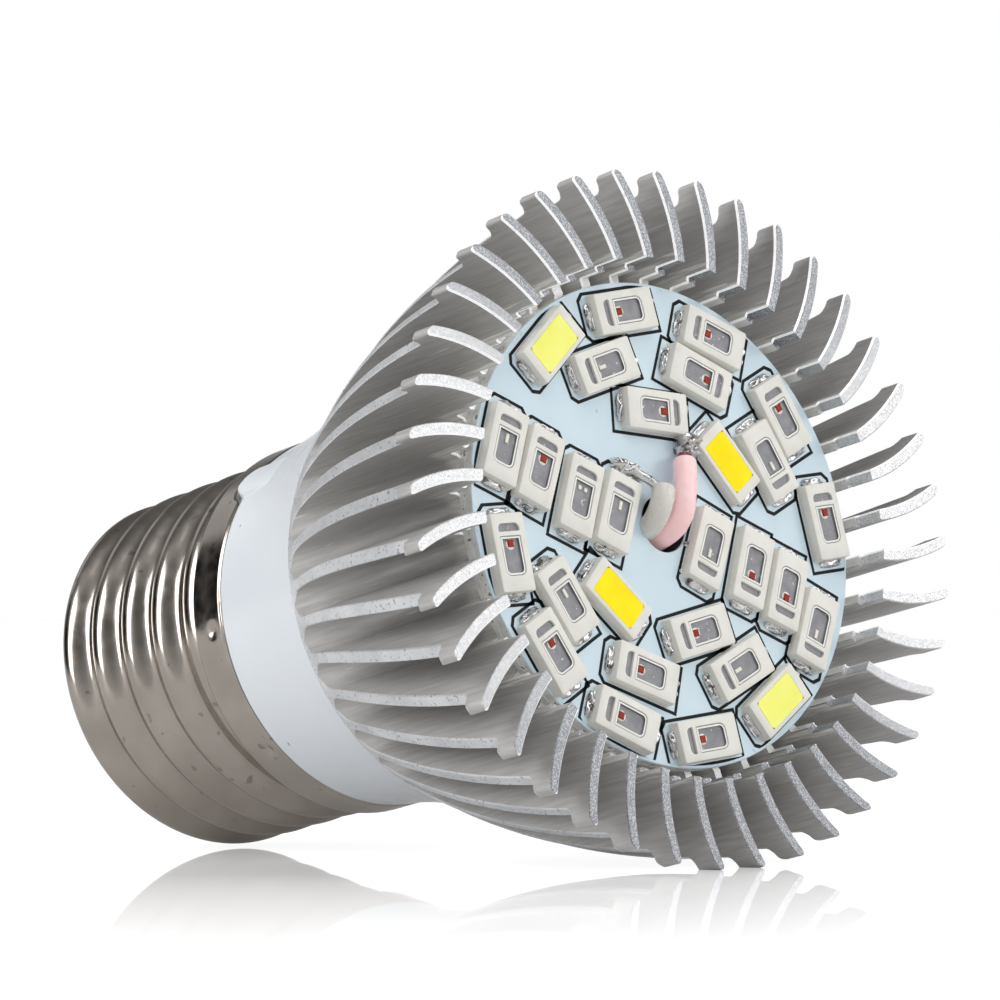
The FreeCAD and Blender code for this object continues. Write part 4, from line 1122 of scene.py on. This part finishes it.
def buildStage():
    toward = cameraPlace - floorTouch
    toward = toward - floorUp * (toward @ floorUp)
    toward /= np.linalg.norm(toward)
    side = np.cross(floorUp, toward)
    size = stage["size"]
    places = np.array([(-1, -1), (1, -1), (1, 1), (-1, 1)]) * size
    corners = [floorTouch + toward * x + side * y for x, y in places]
    mesh = bpy.data.meshes.new("floorSheet")
    mesh.from_pydata([tuple(c) for c in corners], [], [(0, 1, 2, 3)])
    mesh.uv_layers.new(name="floorMap")
    mesh.uv_layers[0].data.foreach_set("uv", places.ravel())
    floor = bpy.data.objects.new("floorSheet", mesh)
    bpy.context.scene.collection.objects.link(floor)
    material = bpy.data.materials.new("whiteFloor")
    material.use_nodes = True
    tree = material.node_tree
    tree.nodes.clear()
    make = tree.nodes.new
    out = make("ShaderNodeOutputMaterial")
    matte, glow, mirror = (make(kind) for kind in ("ShaderNodeBsdfDiffuse", "ShaderNodeEmission",
                                                   "ShaderNodeBsdfGlossy"))
    mirror.inputs["Color"].default_value = (1, 1, 1, 1)
    mirror.inputs["Roughness"].default_value = stage["mirror"]
    # the bulb sees a greyer floor than the viewer does
    watched = make("ShaderNodeLightPath").outputs["Is Camera Ray"]
    tree.links.new(between(tree, watched, stage["bounce"], stage["plain"]), glow.inputs["Strength"])
    grey = mixColors(tree, watched, (stage["unseen"],) * 3, (stage["seen"],) * 3)
    tree.links.new(grey, matte.inputs["Color"])
    both = make("ShaderNodeAddShader")
    tree.links.new(matte.outputs[0], both.inputs[0])
    tree.links.new(glow.outputs[0], both.inputs[1])
    # the mirror image fades with the floor's distance from the bulb towards the viewer
    place = make("ShaderNodeUVMap")
    place.uv_map = "floorMap"
    split = make("ShaderNodeSeparateXYZ")
    tree.links.new(place.outputs["UV"], split.inputs[0])
    fade = between(tree, split.outputs["X"], stage["ghost"], 0.0, 0.0, stage["fadeLength"])
    gloss = times(tree, fade, watched)
    tree.links.new(mixShaders(tree, gloss, both.outputs[0], mirror.outputs[0]), out.inputs["Surface"])
    mesh.materials.append(material)


buildStage()


# azimuth, elevation, distance, width, height (metres), watts
lamps = {
    "rightBox": (86, 22, 0.75, 0.55, 0.55, 1.5),
    "leftStrip": (-68, 26, 0.70, 0.30, 0.56, 2.8),
    "topBox": (30, 66, 0.8, 0.6, 0.6, 2.3),
    "frontBox": (35, 10, 1.0, 0.5, 0.5, 0.75),
}


def seenFrom(azimuth, elevation):
    a, e = math.radians(azimuth), math.radians(elevation)
    level = rightAxis * math.sin(a) - awayAxis * math.cos(a)
    return level * math.cos(e) - downAxis * math.sin(e)


def lightStage():
    centre = np.array([0, 0, 8.0]) * mm
    for name, (azimuth, elevation, distance, width, height, watts) in lamps.items():
        data = bpy.data.lights.new(name, "AREA")
        data.shape = "RECTANGLE"
        data.size, data.size_y = width, height
        data.energy = watts
        lamp = bpy.data.objects.new(name, data)
        bpy.context.scene.collection.objects.link(lamp)
        away = seenFrom(azimuth, elevation)
        upward = -downAxis - away * (-downAxis @ away)
        upward /= np.linalg.norm(upward)
        basis = np.stack([np.cross(upward, away), upward, away], 1)
        place = Matrix.Translation(Vector(centre + away * distance))
        lamp.matrix_world = place @ Matrix(basis.tolist()).to_4x4()


lightStage()


# Studio surround: pure white to the camera. To the bulb it is a grey tent with a bright backdrop behind it
# and a black flag on its left. Each patch: azimuth, elevation, reach and soft edge in degrees, brightness.
surround = {
    "tent": 0.45, "backdrop": (8, 3, 1.0),
    "patches": ((-150, 48, 38, 16, 0.16), (-139, 28, 13, 4, 0.55), (-109, 10, 19, 4, 0.01),
                (-10, 38, 26, 12, 0.12)),
}


def mixLevels(tree, factor, first, second):
    made = tree.nodes.new("ShaderNodeMix")
    made.data_type = "FLOAT"
    tree.links.new(factor, made.inputs[0])
    for socket, value in ((made.inputs[2], first), (made.inputs[3], second)):
        if isinstance(value, float):
            socket.default_value = value
        else:
            tree.links.new(value, socket)
    return made.outputs[0]


def buildSurround():
    world = bpy.data.worlds.new("studio")
    bpy.context.scene.world = world
    world.use_nodes = True
    tree = world.node_tree
    background = tree.nodes["Background"]
    make = tree.nodes.new
    coords = make("ShaderNodeTexCoord")
    level = surround["tent"]
    # the backdrop lies where the floor mirrors the viewer's line of sight
    mirrored = awayAxis - 2 * (awayAxis @ floorUp) * floorUp
    patches = [(seenFrom(azimuth, elevation), *rest) for azimuth, elevation, *rest in surround["patches"]]
    for toward, reach, edge, brightness in patches + [(mirrored, *surround["backdrop"])]:
        facing = make("ShaderNodeVectorMath")
        facing.operation = "DOT_PRODUCT"
        facing.inputs[1].default_value = tuple(toward)
        tree.links.new(coords.outputs["Generated"], facing.inputs[0])
        limits = (math.cos(math.radians(angle)) for angle in (reach + edge, reach - edge))
        patch = between(tree, facing.outputs["Value"], 0.0, 1.0, *limits, soft=True)
        level = mixLevels(tree, patch, level, brightness)
    watched = make("ShaderNodeLightPath").outputs["Is Camera Ray"]
    tree.links.new(mixLevels(tree, watched, level, 1.0), background.inputs["Strength"])
    background.inputs["Color"].default_value = (1, 1, 1, 1)


buildSurround()
bpy.context.scene.view_settings.view_transform = "Standard"
print("stage set")
